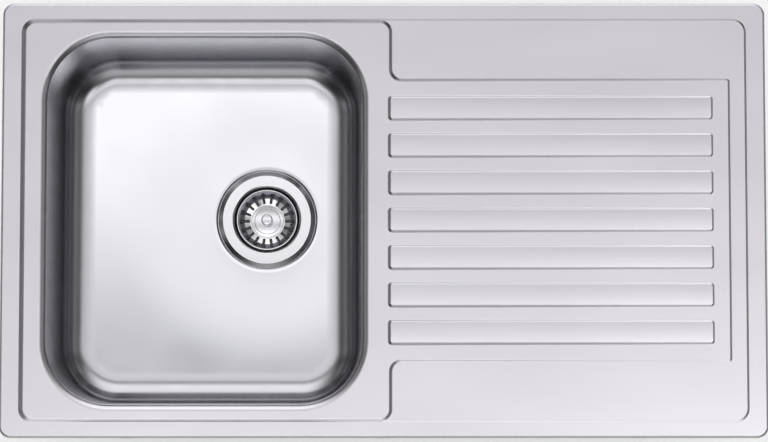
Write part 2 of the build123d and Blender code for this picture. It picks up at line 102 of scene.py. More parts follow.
# Edges of a turned piece that bend by more than this stay sharp
SHARP_ANGLE = math.radians(35)
# Copies whose points are closer than this, in metres, are joined
MERGE_DISTANCE = 0.00002

# How bright the studio is along the sink and across it: direction's share from -1 to 1, and level
LIGHT_ALONG = [(-1.0, 0.30), (-0.80, 0.22), (-0.60, 0.08), (-0.40, 0.40), (-0.25, 0.88), (-0.14, 1.0),
               (0.0, 1.0), (0.25, 0.85), (0.40, 0.50), (0.60, 0.12), (0.80, 0.24), (1.0, 0.30)]
LIGHT_ACROSS = [(-1.0, 0.50), (-0.75, 0.40), (-0.55, 0.10), (-0.40, 0.07), (-0.25, 0.16), (-0.18, 0.60),
                (-0.13, 0.97), (-0.07, 1.0), (-0.03, 0.75), (0.01, 0.42), (0.035, 0.25), (0.055, 0.25),
                (0.09, 0.78), (0.12, 0.93), (0.15, 0.84), (0.19, 0.44), (0.25, 0.22), (0.32, 0.26),
                (0.42, 0.60), (0.55, 0.95), (1.0, 0.85)]
# Name, place in metres and watts
SOFTBOXES = [("softbox_right", (0.85, -0.55, 2.6), 3.0), ("softbox_front", (-0.35, -0.85, 2.6), 3.5)]


# ---- colours ----
def linear(hex_text):
    """An sRGB hex value as linear red, green, blue and alpha."""
    parts = [int(hex_text[i:i + 2], 16) / 255 for i in (1, 3, 5)]
    return [c / 12.92 if c <= 0.04045 else ((c + 0.055) / 1.055) ** 2.4 for c in parts] + [1.0]


def length_property(name, description, default_mm):
    """A length in the user's units, with its default given in millimetres."""
    return bpy.props.FloatProperty(name=name, description=description, default=default_mm * MM,
                                   unit="LENGTH", subtype="DISTANCE", precision=5)


def colour_property(name, description, hex_text):
    """A colour with its default given as an sRGB hex value."""
    return bpy.props.FloatVectorProperty(name=name, description=description, size=4, min=0, max=1,
                                         subtype="COLOR", default=linear(hex_text))


# ---- sizes and colours that a user would change ----
class SinkSheetSize(bpy.types.PropertyGroup):
    """Sizes of the pressed sheet."""
    sheet: length_property("Sheet", "Thickness of the steel sheet", 0.8)
    edge_roll: length_property("Edge roll", "Radius of the rolled-down outer edge", 2.8)
    outline_radius: length_property("Corner", "Corner radius of the outline", 13.0)
    border_side: length_property("Side border", "Width of the raised border at the sides", 21.9)
    border_front: length_property("Front border", "Width of the border at front and rear", 17.9)
    border_corner: length_property("Border corner", "Corner radius inside the border", 15.0)
    border_bend: length_property("Border bend", "How far the border's bends blend out", 0.8)
    ledge_level: length_property("Ledge level", "Height of the ledge beside the drainboard", 1.4)
    wet_level: length_property("Wet level", "Height of the sunk area round the bowl", -2.2)
    drain_high: length_property("Drain level", "Height of the drainboard's far end", -0.2)
    drain_start: length_property("Drain start", "Where the drainboard starts", 6.5)
    drain_end: length_property("Drain end", "Where the drainboard ends", 387.1)
    drain_half: length_property("Drain half width", "Half the width of the drainboard", 156.9)
    drain_corner: length_property("Drain corner", "Corner radius at the drainboard's far end", 4.5)
    drain_bend: length_property("Drain bend", "How far the bend at its start blends out", 3.0)
    contour_radius: length_property("Contour radius", "Radius of the ledge's contour", 14.0)
    contour_bend: length_property("Contour bend", "How far the contour's upper bend blends out", 0.9)
    ground_bend: length_property("Ground bend", "How far the contour's lower bend blends out", 1.3)
    draft: bpy.props.FloatProperty(name="Draft", description="Lean of the pressed steps",
                                   default=math.radians(35), subtype="ANGLE")


class SinkRibSize(bpy.types.PropertyGroup):
    """Sizes of the drainboard's ribs."""
    count: bpy.props.IntProperty(name="Ribs", description="Number of ribs", default=7, min=1)
    pitch: length_property("Pitch", "From rib to rib", 42.2)
    top_width: length_property("Top width", "Width of a rib's top", 23.84)
    top_start: length_property("Start", "Where a rib's top starts", 7.48)
    top_end: length_property("End", "Where a rib's top ends", 369.32)
    level: length_property("Level", "Height of a rib's crown", 1.2)
    crown: length_property("Crown", "How much lower a rib's sides are than its middle", 0.35)
    corner: length_property("Corner", "Corner radius of a rib's top", 2.5)
    top_bend: length_property("Top bend", "How far a rib's upper bend blends out", 1.1)
    foot_bend: length_property("Foot bend", "How far a rib's lower bend blends out", 1.0)
    start_ground: length_property("Ground before", "Ground before a rib's top", 7.48)
    end_ground: length_property("Ground after", "Ground after a rib's top", 6.68)


class SinkBowlSize(bpy.types.PropertyGroup):
    """Sizes of the bowl."""
    middle: length_property("Middle", "The bowl's middle along the sink", -202.0)
    half_length: length_property("Half length", "Half the bowl's length at the weld", 178.0)
    half_width: length_property("Half width", "Half the bowl's width at the weld", 207.0)
    corner: length_property("Corner", "Corner radius at the weld", 72.0)
    lip: length_property("Lip", "Radius of the rolled lip", 8.0)
    depth: length_property("Depth", "Depth below the worktop's face", 160.0)
    floor_radius: length_property("Floor radius", "Radius between wall and floor", 28.0)
    floor_fall: length_property("Fall", "Fall of the floor towards the waste", 1.0)
    fall_reach: length_property("Fall's reach", "How far from the waste the floor falls", 120.0)
    fall_fade: length_property("Fall's fade", "How far up the walls the fall fades out", 45.0)
    recess_gap: length_property("Recess gap", "Gap between the flange and its recess", 0.5)
    recess_ledge: length_property("Recess ledge", "Flat ring round the recess", 6.0)
    waste_hole: length_property("Waste hole", "Radius of the hole for the waste", 45.0)
    draft: bpy.props.FloatProperty(name="Draft", description="Lean of the bowl's walls",
                                   default=math.radians(3), subtype="ANGLE")


class SinkWasteSize(bpy.types.PropertyGroup):
    """Sizes of the strainer flange and the basket."""
    flange_sheet: length_property("Flange sheet", "Thickness of the flange", 0.8)
    flange_slope: length_property("Flange slope", "Width of the flange's sloping edge", 5.2)
    flange_rise: length_property("Flange rise", "Height of its outer edge over the gasket's foot", 1.1)
    cup_mouth: length_property("Cup mouth", "Radius of the cup's mouth", 38.0)
    cup_foot: length_property("Cup foot", "Radius of the cup at its floor", 36.5)
    grid_radius: length_property("Grid", "Radius inside which the cup's floor has openings", 19.5)
    opening_outer: length_property("Opening, outer", "Outer radius of the openings", 17.0)
    opening_inner: length_property("Opening, inner", "Inner radius of the openings", 9.0)
    spoke_half: length_property("Half spoke", "Half the width of a spoke", 2.5)
    screw_hole: length_property("Screw hole", "Radius of the hole for the screw", 4.05)
    # The cup inside this radius is painted near black: painted shade under the basket.
    unpolished_shaded_cup: length_property("Unpolished", "Radius inside which the cup is as pressed", 37.6)
    basket_sheet: length_property("Basket sheet", "Thickness of the basket", 0.6)
    basket_hole: length_property("Basket hole", "Radius of the hole for the stem", 2.3)
    basket_floor: length_property("Basket floor", "Radius of the basket's floor", 20.0)
    basket_cone: length_property("Basket cone", "Radius at the slotted cone's top", 28.0)
    cone_rise: length_property("Cone rise", "Height of the slotted cone", 1.8)
    basket_wall: length_property("Basket wall", "Radius at the basket's rim", 34.0)
    basket_rim: length_property("Basket rim", "Outer radius of the basket", 35.2)
    slot_start: length_property("Slot start", "Where a slot starts, from the middle", 20.6)
    slot_end: length_property("Slot end", "Where a slot ends, from the middle", 32.4)
    slot_half: length_property("Half slot", "Half the width of a slot", 1.7)
    slot_corner: length_property("Slot corner", "Corner radius of a slot", 1.6)
    slots: bpy.props.IntProperty(name="Slots", description="Number of slots", default=18, min=3)


class SinkThreads(bpy.types.PropertyGroup):
    """Threads of the clamp screws and of the waste's outlet."""
    head_height: length_property("Head height", "Height of a clamp screw's head", 3.5)
    shank_radius: length_property("Shank", "Radius of a clamp screw's plain shank", 2.5)
    screw_pitch: length_property("Screw pitch", "Rise of a clamp screw's thread in one turn", 0.8)
    screw_depth: length_property("Screw depth", "Depth of a clamp screw's thread", 0.45)
    outlet_pitch: length_property("Outlet pitch", "Rise of the 1 1/2 inch thread in one turn", 2.309)
    outlet_depth: length_property("Outlet depth", "Depth of the outlet's thread", 1.2)
    outlet_wall: length_property("Outlet wall", "Wall of the outlet, thread included", 4.4)
    collar_height: length_property("Collar height", "Height of the collar over the thread", 4.0)
    collar_width: length_property("Collar width", "How far the collar stands out", 3.0)


class SinkFinish(bpy.types.PropertyGroup):
    """Colours of the finishes."""
    satin: colour_property("Satin steel", "The pressed sheet", "#CDCBD0")
    polished: colour_property("Polished steel", "The bowl", "#CFCFD4")
    bright: colour_property("Bright steel", "Flange and basket", "#D4D4D8")
    galvanised: colour_property("Galvanised steel", "The fixing rails", "#A9AEB2")
    zinc: colour_property("Zinc", "Clamps, hangers and nuts", "#B9BCC0")
    zinc_cloud: colour_property("Zinc clouds", "Where the passivated zinc is warmer", "#C3BDA9")
    spring: colour_property("Spring steel", "The catch on the knob's stem", "#8B8B8E")
    brass: colour_property("Brass", "The threaded insert", "#D2B26A")
    plastic: colour_property("Plastic", "The waste body and its outlet", "#E4E3DE")
    rubber: colour_property("Rubber", "Gaskets and basket seal", "#26262A")
    foam: colour_property("Foam", "The strip below the border", "#5C5E62")
    pad: colour_property("Damping pad", "The pads below bowl and drainboard", "#4A4B4E")
    backdrop: colour_property("Backdrop", "The studio's floor", "#EDEDED")
    surround: colour_property("Surround", "The studio's walls, as the camera sees them", "#B4B4B4")


class SinkStage(bpy.types.PropertyGroup):
    """Camera and light."""
    distance: bpy.props.FloatProperty(name="Distance", description="Camera to the sheet",
                                      default=3.7, unit="LENGTH")
    tilt: bpy.props.FloatProperty(name="Tilt", description="Camera's lean from straight above",
                                  default=math.radians(5.2), subtype="ANGLE")
    pixel: bpy.props.FloatProperty(name="Pixel", description="Size of a pixel at the sheet",
                                   default=1.1227 * MM, unit="LENGTH", precision=7)
    width: bpy.props.IntProperty(name="Width", description="Width of the picture in pixels",
                                 default=768, min=1)
    light: bpy.props.FloatProperty(name="Light", description="Strength of the studio's light",
                                   default=2.0, min=0)
    softbox: bpy.props.FloatProperty(name="Softbox", description="Diameter of a softbox",
                                     default=0.9, unit="LENGTH")
    glow: bpy.props.FloatProperty(name="Glow", description="What the floor adds for the camera alone",
                                  default=0.42, min=0)


# ---- outlines ----
def corner_turns(corners, radii):
    """Each corner's place, way out, turn, the outward directions of its two sides, and its radius.

    The turn is 1 where the outline bulges and -1 where it is hollow.
    """
    corners = [np.array(c, float) for c in corners]
    ways = [(after - before) / np.linalg.norm(after - before)
            for before, after in zip(corners, corners[1:] + corners[:1])]
    turns = []
    for i, (corner, after) in enumerate(zip(corners, ways)):
        before = ways[i - 1]
        side = 1.0 if before[0] * after[1] - before[1] * after[0] > 0 else -1.0
        n1 = np.array([before[1], -before[0]])
        n2 = np.array([after[1], -after[0]])
        turns.append((corner, after, side, n1, n2, radii[i]))
    return turns


def contour(corners, radii, out, arc_steps, side_step, closed=True):
    """Points along a rounded outline moved out by out, and their outward directions.

    The number of points doesn't depend on out, so that outlines can be joined face by face.
    """
    turns = corner_turns(corners, radii)
    last = len(turns) - 1
    turn = np.linspace(0, math.pi / 2, arc_steps + 1)[:, None]
    arcs = []
    for i, (corner, _, side, n1, n2, radius) in enumerate(turns):
        if closed or 0 < i < last:
            radius = radius + side * out
            centre = corner + out * (n1 + n2) - side * radius * (n1 + n2)
            spread = np.cos(turn) * n1 + np.sin(turn) * n2
            arcs.append((centre + side * radius * spread, spread))
        else:
            end = n2 if i == 0 else n1
            arcs.append((np.array([corner + out * end]), np.array([end])))
    points = []
    outward = []
    for i, (arc, spread) in enumerate(arcs):
        points.extend(arc)
        outward.extend(spread)
        if not closed and i == last:
            break
        j = (i + 1) % len(turns)
        span = np.linalg.norm(turns[j][0] - turns[i][0]) - radii[i] - radii[j]
        pieces = max(1, int(round(span / side_step)))
        for k in range(1, pieces):
            share = k / pieces
            points.append(arc[-1] * (1 - share) + arcs[j][0][0] * share)
            outward.append(spread[-1])
    return np.array(points), np.array(outward)


def outline_distance(corners, radii, x, y):
    """Signed distance to a rounded outline, below zero inside it."""
    best = np.full(x.shape, 1e9)
    signed = np.full(x.shape, 1e9)
    turns = corner_turns(corners, radii)
    for (corner, after, side, n1, n2, radius), following in zip(turns, turns[1:] + turns[:1]):
        centre = corner - side * radius * (n1 + n2)
        dx = x - centre[0]
        dy = y - centre[1]
        reach = np.hypot(dx, dy)
        along1 = side * (dx * n1[0] + dy * n1[1])
        along2 = side * (dx * n2[0] + dy * n2[1])
        gap = np.where((along1 >= 0) & (along2 >= 0), np.abs(reach - radius), 1e9)
        closer = gap < best
        best = np.where(closer, gap, best)
        signed = np.where(closer, side * (reach - radius), signed)
        start = corner + after * radius
        span = np.linalg.norm(following[0] - corner) - radius - following[-1]
        along = np.clip((x - start[0]) * after[0] + (y - start[1]) * after[1], 0, span)
        gap = np.hypot(x - start[0] - along * after[0], y - start[1] - along * after[1])
        closer = gap < best
        best = np.where(closer, gap, best)
        across = (x - start[0]) * n2[0] + (y - start[1]) * n2[1]
        signed = np.where(closer, np.where(across < 0, -gap, gap), signed)
    return signed


def rectangle(x0, x1, y0, y1):
    """A rectangle's corners, counterclockwise."""
    return [(x0, y0), (x1, y0), (x1, y1), (x0, y1)]


def circle(radius, centre, steps):
    """Points on a circle, and their outward directions."""
    turn = np.linspace(0, 2 * math.pi, steps, endpoint=False)
    outward = np.stack([np.cos(turn), np.sin(turn)], 1)
    return np.array(centre) + radius * outward, outward


def rounded_line(points, radii, steps):
    """A line through points, its inner corners rounded."""
    line = [np.array(p, float) for p in points]
    made = [line[0]]
    for i in range(1, len(line) - 1):
        back = line[i - 1] - line[i]
        on = line[i + 1] - line[i]
        back = back / np.linalg.norm(back)
        on = on / np.linalg.norm(on)
        half = math.acos(max(-1.0, min(1.0, float(back @ on)))) / 2
        radius = radii[i - 1]
        if radius <= 0:
            made.append(line[i])
            continue
        reach = radius / math.tan(half)
        centre = line[i] + (back + on) / np.linalg.norm(back + on) * radius / math.sin(half)
        start = line[i] + back * reach - centre
        end = line[i] + on * reach - centre
        angle0 = math.atan2(start[1], start[0])
        sweep = math.atan2(end[1], end[0]) - angle0
        sweep = (sweep + math.pi) % (2 * math.pi) - math.pi
        for k in range(steps + 1):
            a = angle0 + sweep * k / steps
            made.append(centre + radius * np.array([math.cos(a), math.sin(a)]))
    made.append(line[-1])
    return np.array(made)


def soft_ramp(t, reach):
    """Zero below, t above, with a smooth bend between."""
    return np.where(t < -reach, 0.0, np.where(t > reach, t, (t + reach) ** 2 / (4 * reach)))


def soft_max(a, b, reach):
    """The higher of two heights, with a smooth bend where they meet."""
    return b + soft_ramp(a - b, reach)


def soft_min(a, b, reach):
    """The lower of two heights, with a smooth bend where they meet."""
    return a - soft_ramp(a - b, reach)


def spaced(low, high, step):
    """Even steps between two values, both included."""
    return np.linspace(low, high, max(1, int(round((high - low) / step))) + 1)


def ground_points(x0, x1, y0, y1, step):
    """A grid of points inside a rectangle."""
    gx, gy = np.meshgrid(spaced(x0, x1, step)[1:-1], spaced(y0, y1, step)[1:-1])
    return np.stack([gx.ravel(), gy.ravel()], 1)


def border_points(xs, ys):
    """Points round a rectangle, at given places along its sides."""
    points = [(x, ys[0]) for x in xs[:-1]] + [(xs[-1], y) for y in ys[:-1]]
    points += [(x, ys[-1]) for x in xs[:0:-1]] + [(xs[0], y) for y in ys[:0:-1]]
    return np.array(points)


def lifted(flat, height):
    """Flat points or directions with a height added, one for all or one for each."""
    return np.column_stack([flat, np.broadcast_to(height, len(flat))])


def smooth_fade(share):
    """A share from 0 to 1 that starts and ends gently."""
    return share * share * (3 - 2 * share)


# ---- meshes ----
class Skin:
    """One side of a sheet under construction: points, directions away from the metal, faces."""

    def __init__(self, points=(), away=(), faces=()):
        self.points = list(points)
        self.away = list(away)
        self.faces = list(faces)

    def rings(self, rings):
        """Add rings of points with their directions, join each to the last, return their numbers."""
        rows = []
        for points, away in rings:
            first = len(self.points)
            self.points.extend(points)
            self.away.extend(away)
            rows.append(list(range(first, len(self.points))))
        for one, other in zip(rows, rows[1:]):
            for i in range(len(one)):
                j = (i + 1) % len(one)
                self.faces.append((one[i], one[j], other[j], other[i]))
        return rows

    def fill(self, loops, extra, inside, height):
        """Fill flat ground between loops, keeping triangles whose middle is inside."""
        flat = []
        edges = []
        known = []
        for loop, closed, numbers in loops:
            first = len(flat)
            flat.extend([Vector((p[0], p[1])) for p in loop])
            known.extend(numbers if numbers else [None] * len(loop))
            count = len(loop)
            edges.extend((first + i, first + (i + 1) % count)
                         for i in range(count if closed else count - 1))
        flat.extend([Vector((p[0], p[1])) for p in extra])
        known.extend([None] * len(extra))
        verts, _, faces, origin, _, _ = delaunay_2d_cdt(flat, edges, [], 0, 1e-4)
        xy = np.array([(v.x, v.y) for v in verts])
        z, away = height(xy[:, 0], xy[:, 1])
        numbers = []
        for i, sources in enumerate(origin):
            mine = [known[s] for s in sources if known[s] is not None]
            if mine:
                numbers.append(mine[0])
            else:
                numbers.append(len(self.points))
                self.points.append(np.array([xy[i, 0], xy[i, 1], z[i]]))
                self.away.append(away[i])
        tri = np.array([f for f in faces if len(f) == 3])
        middle = xy[tri].mean(1)
        for keep, f in zip(inside(middle[:, 0], middle[:, 1]), tri):
            if keep:
                self.faces.append(tuple(numbers[i] for i in f))

    def arrays(self):
        """Points, directions and faces, turned to face away from the metal and without strays."""
        points = np.array(self.points)
        away = np.array(self.away)
        faces = []
        for f in self.faces:
            if len(set(f)) < 3:
                continue
            a, b, c = (points[i] for i in f[:3])
            normal = np.cross(b - a, c - a)
            if len(f) == 4:
                normal = normal + np.cross(c - a, points[f[3]] - a)
            if normal @ away[list(f)].sum(0) < 0:
                f = tuple(reversed(f))
            faces.append(f)
        used = sorted(set(i for f in faces for i in f))
        place = {old: new for new, old in enumerate(used)}
        return points[used], away[used], [tuple(place[i] for i in f) for f in faces]


def mesh_object(name, points, faces):
    """An object at the origin, from points in millimetres and faces."""
    mesh = bpy.data.meshes.new(name)
    mesh.from_pydata((np.asarray(points) * MM).tolist(), [], faces)
    mesh.polygons.foreach_set("use_smooth", [True] * len(mesh.polygons))
    thing = bpy.data.objects.new(name, mesh)
    bpy.context.scene.collection.objects.link(thing)
    return thing


def mesh_points(mesh):
    """A mesh's points in millimetres."""
    coords = np.empty(len(mesh.vertices) * 3)
    mesh.vertices.foreach_get("co", coords)
    return coords.reshape(-1, 3) / MM


def sheet_object(name, points, away, faces, thickness):
    """A closed sheet of even thickness below a skin given in millimetres."""
    count = len(points)
    under = points - away * thickness
    loops = [list(f) for f in faces] + [[i + count for i in reversed(f)] for f in faces]
    normals = [away[i] for f in faces for i in f]
    normals += [-away[i] for f in faces for i in reversed(f)]
    edges = {(a, b): True for f in faces for a, b in zip(f, f[1:] + f[:1])}
    every = np.concatenate([points, under])
    for a, b in edges:
        if (b, a) not in edges:
            side = [b, a, a + count, b + count]
            normal = np.cross(every[side[1]] - every[side[0]], every[side[2]] - every[side[0]])
            size = np.linalg.norm(normal)
            if size > 0:
                normal = normal / size
            loops.append(side)
            normals.extend([normal] * 4)
    thing = mesh_object(name, every, loops)
    thing.data.normals_split_custom_set(np.array(normals).tolist())
    return thing


def turned_object(name, profile, centre, steps=96):
    """A closed outline of radii and heights, turned about an upright axis at centre."""
    profile = np.asarray(profile, float)
    turn = np.linspace(0, 2 * math.pi, steps, endpoint=False)
    rows = []
    points = []
    for radius, height in profile:
        if radius < 1e-6:
            rows.append([len(points)] * steps)
            points.append((centre[0], centre[1], height))
            continue
        rows.append(list(range(len(points), len(points) + steps)))
        points.extend((centre[0] + radius * math.cos(a), centre[1] + radius * math.sin(a), height)
                      for a in turn)
    faces = []
    area = 0
    for i, (one, other) in enumerate(zip(rows, rows[1:] + rows[:1])):
        following = profile[(i + 1) % len(profile)]
        area += profile[i][0] * following[1] - following[0] * profile[i][1]
        for k in range(steps):
            m = (k + 1) % steps
            face = list(dict.fromkeys((one[k], one[m], other[m], other[k])))
            if len(face) > 2:
                faces.append(face)
    thing = mesh_object(name, points, faces)
    if area > 0:
        thing.data.flip_normals()
    thing.data.set_sharp_from_angle(angle=SHARP_ANGLE)
    return thing


# ---- nodes ----
def add_node(tree, kind, inputs=None, **settings):
    """Add a node, with its settings, and values or links for its inputs."""
    node = tree.nodes.new(kind)
    for name, value in settings.items():
        setattr(node, name, value)
    for key, value in (inputs or {}).items():
        if isinstance(value, bpy.types.NodeSocket):
            tree.links.new(value, node.inputs[key])
        else:
            node.inputs[key].default_value = value
    return node


def geometry_tree(name, result, **inputs):
    """A new node tree with named inputs and one result, and its inputs' sockets."""
    tree = bpy.data.node_groups.new(name, "GeometryNodeTree")
    for label, kind in inputs.items():
        tree.interface.new_socket(label.replace("_", " "), in_out="INPUT",
                                  socket_type="NodeSocket" + kind)
    tree.interface.new_socket(result, in_out="OUTPUT", socket_type="NodeSocketGeometry")
    return tree, add_node(tree, "NodeGroupInput").outputs


def copies_tree(name):
    """Copies of a piece, each moved by a step and turned by an angle from the last, merged."""
    tree, given = geometry_tree(name, "Copies", Piece="Geometry", Count="Int", Step="Vector",
                                Turn="Float", Merge_Distance="Float", Finish="Material")
    row = add_node(tree, "GeometryNodeMeshLine", {"Count": given["Count"], "Offset": given["Step"]},
                   mode="OFFSET")
    number = add_node(tree, "GeometryNodeInputIndex").outputs["Index"]
    angle = add_node(tree, "ShaderNodeMath", {0: number, 1: given["Turn"]}, operation="MULTIPLY")
    about = add_node(tree, "ShaderNodeCombineXYZ", {"Z": angle.outputs[0]})
    turn = add_node(tree, "FunctionNodeEulerToRotation", {0: about.outputs[0]})
    copies = add_node(tree, "GeometryNodeInstanceOnPoints",
                      {"Points": row.outputs[0], "Instance": given["Piece"], "Rotation": turn.outputs[0]})
    real = add_node(tree, "GeometryNodeRealizeInstances", {"Geometry": copies.outputs[0]})
    merged = add_node(tree, "GeometryNodeMergeByDistance",
                      {"Geometry": real.outputs[0], "Distance": given["Merge Distance"]})
    finish = add_node(tree, "GeometryNodeSetMaterial",
                      {"Geometry": merged.outputs[0], "Material": given["Finish"]})
    add_node(tree, "NodeGroupOutput", {"Copies": finish.outputs[0]})
    return tree


def thread_tree(name):
    """A ridge that winds round an upright core, swept along a helix."""
    tree, given = geometry_tree(name, "Threaded", Core="Geometry", Foot="Vector", Length="Float",
                                Pitch="Float", Radius="Float", Ridge="Float", Steps="Int",
                                Finish="Material")
    turns = add_node(tree, "ShaderNodeMath", {0: given["Length"], 1: given["Pitch"]}, operation="DIVIDE")
    helix = add_node(tree, "GeometryNodeCurveSpiral",
                     {"Resolution": given["Steps"], "Rotations": turns.outputs[0],
                      "Start Radius": given["Radius"], "End Radius": given["Radius"],
                      "Height": given["Length"], "Reverse": True})
    upright = add_node(tree, "GeometryNodeSetCurveNormal", {"Curve": helix.outputs[0]}, mode="Z_UP")
    outline = add_node(tree, "GeometryNodeCurvePrimitiveCircle",
                       {"Resolution": 4, "Radius": given["Ridge"]}, mode="RADIUS")
    ridge = add_node(tree, "GeometryNodeCurveToMesh",
                     {"Curve": upright.outputs[0], "Profile Curve": outline.outputs[0], "Fill Caps": True})
    placed = add_node(tree, "GeometryNodeTransform",
                      {"Geometry": ridge.outputs[0], "Translation": given["Foot"]})
    joined = add_node(tree, "GeometryNodeJoinGeometry")
    for part in (placed.outputs[0], given["Core"]):
        tree.links.new(part, joined.inputs[0])
    real = add_node(tree, "GeometryNodeRealizeInstances", {"Geometry": joined.outputs[0]})
    finish = add_node(tree, "GeometryNodeSetMaterial",
                      {"Geometry": real.outputs[0], "Material": given["Finish"]})
    add_node(tree, "NodeGroupOutput", {"Threaded": finish.outputs[0]})
    return tree


def grown(thing, tree, **inputs):
    """Run a node tree on an object and keep its result as a plain mesh."""
    modifier = thing.modifiers.new(tree.name, "NODES")
    modifier.node_group = tree
    for item in tree.interface.items_tree:
        key = item.name.lower().replace(" ", "_")
        if item.item_type == "SOCKET" and item.in_out == "INPUT" and key in inputs:
            modifier[item.identifier] = inputs[key]
    graph = bpy.context.evaluated_depsgraph_get()
    mesh = bpy.data.meshes.new_from_object(thing.evaluated_get(graph))
    thing.modifiers.remove(modifier)
    thing.data = mesh
    return thing


def copied(patch, tree, **inputs):
    """The copies that a node tree makes of a patch, as points in millimetres and faces."""
    mesh = grown(patch, tree, merge_distance=MERGE_DISTANCE, **inputs).data
    points = mesh_points(mesh)
    faces = [tuple(polygon.vertices) for polygon in mesh.polygons]
    bpy.data.objects.remove(patch)
    return points, faces


# ---- sizes read from the packed solids ----
def outline_half():
    """Half the sheet's length and width in millimetres, from its solid."""
    low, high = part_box("sink_deck")
    return (high.x - low.x) / 2 / MM, (high.y - low.y) / 2 / MM


def border_level():
    """The border's height in millimetres, from its solid."""
    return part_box("sink_deck")[1].z / MM


def gasket_foot():
    """The foot of the gasket below the flange in millimetres, from its solid."""
    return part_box("waste_upper_gasket")[0].z / MM


def upright(node):
    """An upright node's centre, radius, foot and top in millimetres, from its solid."""
    low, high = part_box(node)
    centre = ((low.x + high.x) / 2 / MM, (low.y + high.y) / 2 / MM)
    return centre, (high.x - low.x) / 2 / MM, low.z / MM, high.z / MM


# ---- the pressed sheet ----
def field_half(size):
    """Half the length and width inside the raised border, in millimetres."""
    half_length, half_width = outline_half()
    return half_length - size.border_side / MM, half_width - size.border_front / MM


def wet_corners(size):
    """The sunk area's contour at the border's level: corners and radii, in millimetres."""
    field_x, field_y = field_half(size)
    x0, y0 = -field_x, field_y
    slope = math.tan(size.draft)
    run = (border_level() - size.wet_level / MM) * slope
    x1 = size.drain_start / MM + run
    x2 = size.drain_end / MM + run
    y1 = size.drain_half / MM + run
    near = size.border_corner / MM
    far = size.drain_corner / MM
    curve = size.contour_radius / MM
    corners = [(x0, -y0), (x1, -y0), (x1, -y1), (x2, -y1), (x2, y1), (x1, y1), (x1, y0), (x0, y0)]
    return corners, [near, curve, curve - run, far, far, curve - run, curve, near]


def rib_outline(rib):
    """The outline of a rib's top about its own middle line: corners and radii, in millimetres."""
    half = rib.top_width / MM / 2
    return rectangle(rib.top_start / MM, rib.top_end / MM, -half, half), [rib.corner / MM] * 4


def bowl_opening(bowl):
    """The bowl's opening at the weld: corners and radii, in millimetres."""
    middle = bowl.middle / MM
    corners = rectangle(middle - bowl.half_length / MM, middle + bowl.half_length / MM,
                        -bowl.half_width / MM, bowl.half_width / MM)
    return corners, [bowl.corner / MM] * 4


def patch_ends(rib):
    """Where the ribbed ground starts and ends along the sink."""
    return (rib.top_start - rib.start_ground) / MM, (rib.top_end + rib.end_ground) / MM


def deck_height(x, y, size, rib):
    """The pressed surface's height at places right of and round the bowl's opening."""
    slope = math.tan(size.draft)
    top = border_level()
    field_x, field_y = field_half(size)
    field = rectangle(-field_x, field_x, -field_y, field_y)
    depth = -outline_distance(field, [size.border_corner / MM] * 4, x, y)
    run = (top - size.ledge_level / MM) * slope
    bend = size.border_bend / MM
    upper = top - (soft_ramp(depth, bend) - soft_ramp(depth - run, bend)) / slope
    wall = top + outline_distance(*wet_corners(size), x, y) / slope
    fall = (size.drain_high - size.wet_level) / (size.drain_end - size.drain_start)
    ground = size.wet_level / MM + fall * soft_ramp(x - size.drain_start / MM, size.drain_bend / MM)
    z = soft_max(soft_min(upper, wall, size.contour_bend / MM), ground, size.ground_bend / MM)
    pitch = rib.pitch / MM
    reach = rib.count * pitch / 2
    across = (y + reach) % pitch - pitch / 2
    half = rib.top_width / MM / 2
    gap = outline_distance(*rib_outline(rib), x, across)
    past_edge = 1.2
    crest = rib.level / MM - rib.crown / MM * np.clip(np.abs(across) / half, 0, past_edge) ** 2
    raised = soft_min(crest, rib.level / MM - gap / slope, rib.top_bend / MM)
    return np.where(np.abs(y) < reach, soft_max(z, raised, rib.foot_bend / MM), z)


def deck_surface(size, rib):
    """A function that gives the pressed surface's height and upward direction."""
    def surface(x, y):
        near = 0.02
        z = deck_height(x, y, size, rib)
        dx = deck_height(x + near, y, size, rib) - deck_height(x - near, y, size, rib)
        dy = deck_height(x, y + near, size, rib) - deck_height(x, y - near, size, rib)
        away = np.stack([-dx, -dy, np.full(z.shape, 2 * near)], 1)
        return z, away / np.linalg.norm(away, axis=1)[:, None]
    return surface


def rolled(skin, outline, radii, roll, level, side, steps, mesh):
    """Roll the sheet down at its outer edge (side 1) or into the bowl (side -1).

    Returns the loop where the roll leaves the flat sheet.
    """
    rings = []
    for angle in np.linspace(0, math.pi / 2, steps):
        ring, out = contour(outline, radii, -side * roll * (1 - math.sin(angle)), *mesh)
        away = lifted(side * out * math.sin(angle), math.cos(angle))
        rings.append((lifted(ring, level - roll * (1 - math.cos(angle))), away))
    return rings[0][0][:, :2], True, skin.rings(rings)[0]


def rib_patch(size, rib):
    """One rib with the ground round it, as an object on its own middle line."""
    x0, x1 = patch_ends(rib)
    half_pitch = rib.pitch / MM / 2
    half = rib.top_width / MM / 2
    ys = spaced(-half_pitch, half_pitch, PATCH_ACROSS)
    loops = [(border_points(spaced(x0, x1, PATCH_ALONG), ys), True, None)]
    corners, radii = rib_outline(rib)
    for out in RIB_RINGS:
        loops.append((contour(corners, radii, out, *RIB_MESH)[0], True, None))
    crown = ground_points(corners[0][0], corners[1][0], -half, half, CROWN_STEP)
    skin = Skin()
    skin.fill(loops, crown, lambda x, y: np.full(x.shape, True), deck_surface(size, rib))
    points, _, faces = skin.arrays()
    return mesh_object("rib_patch", points, faces)


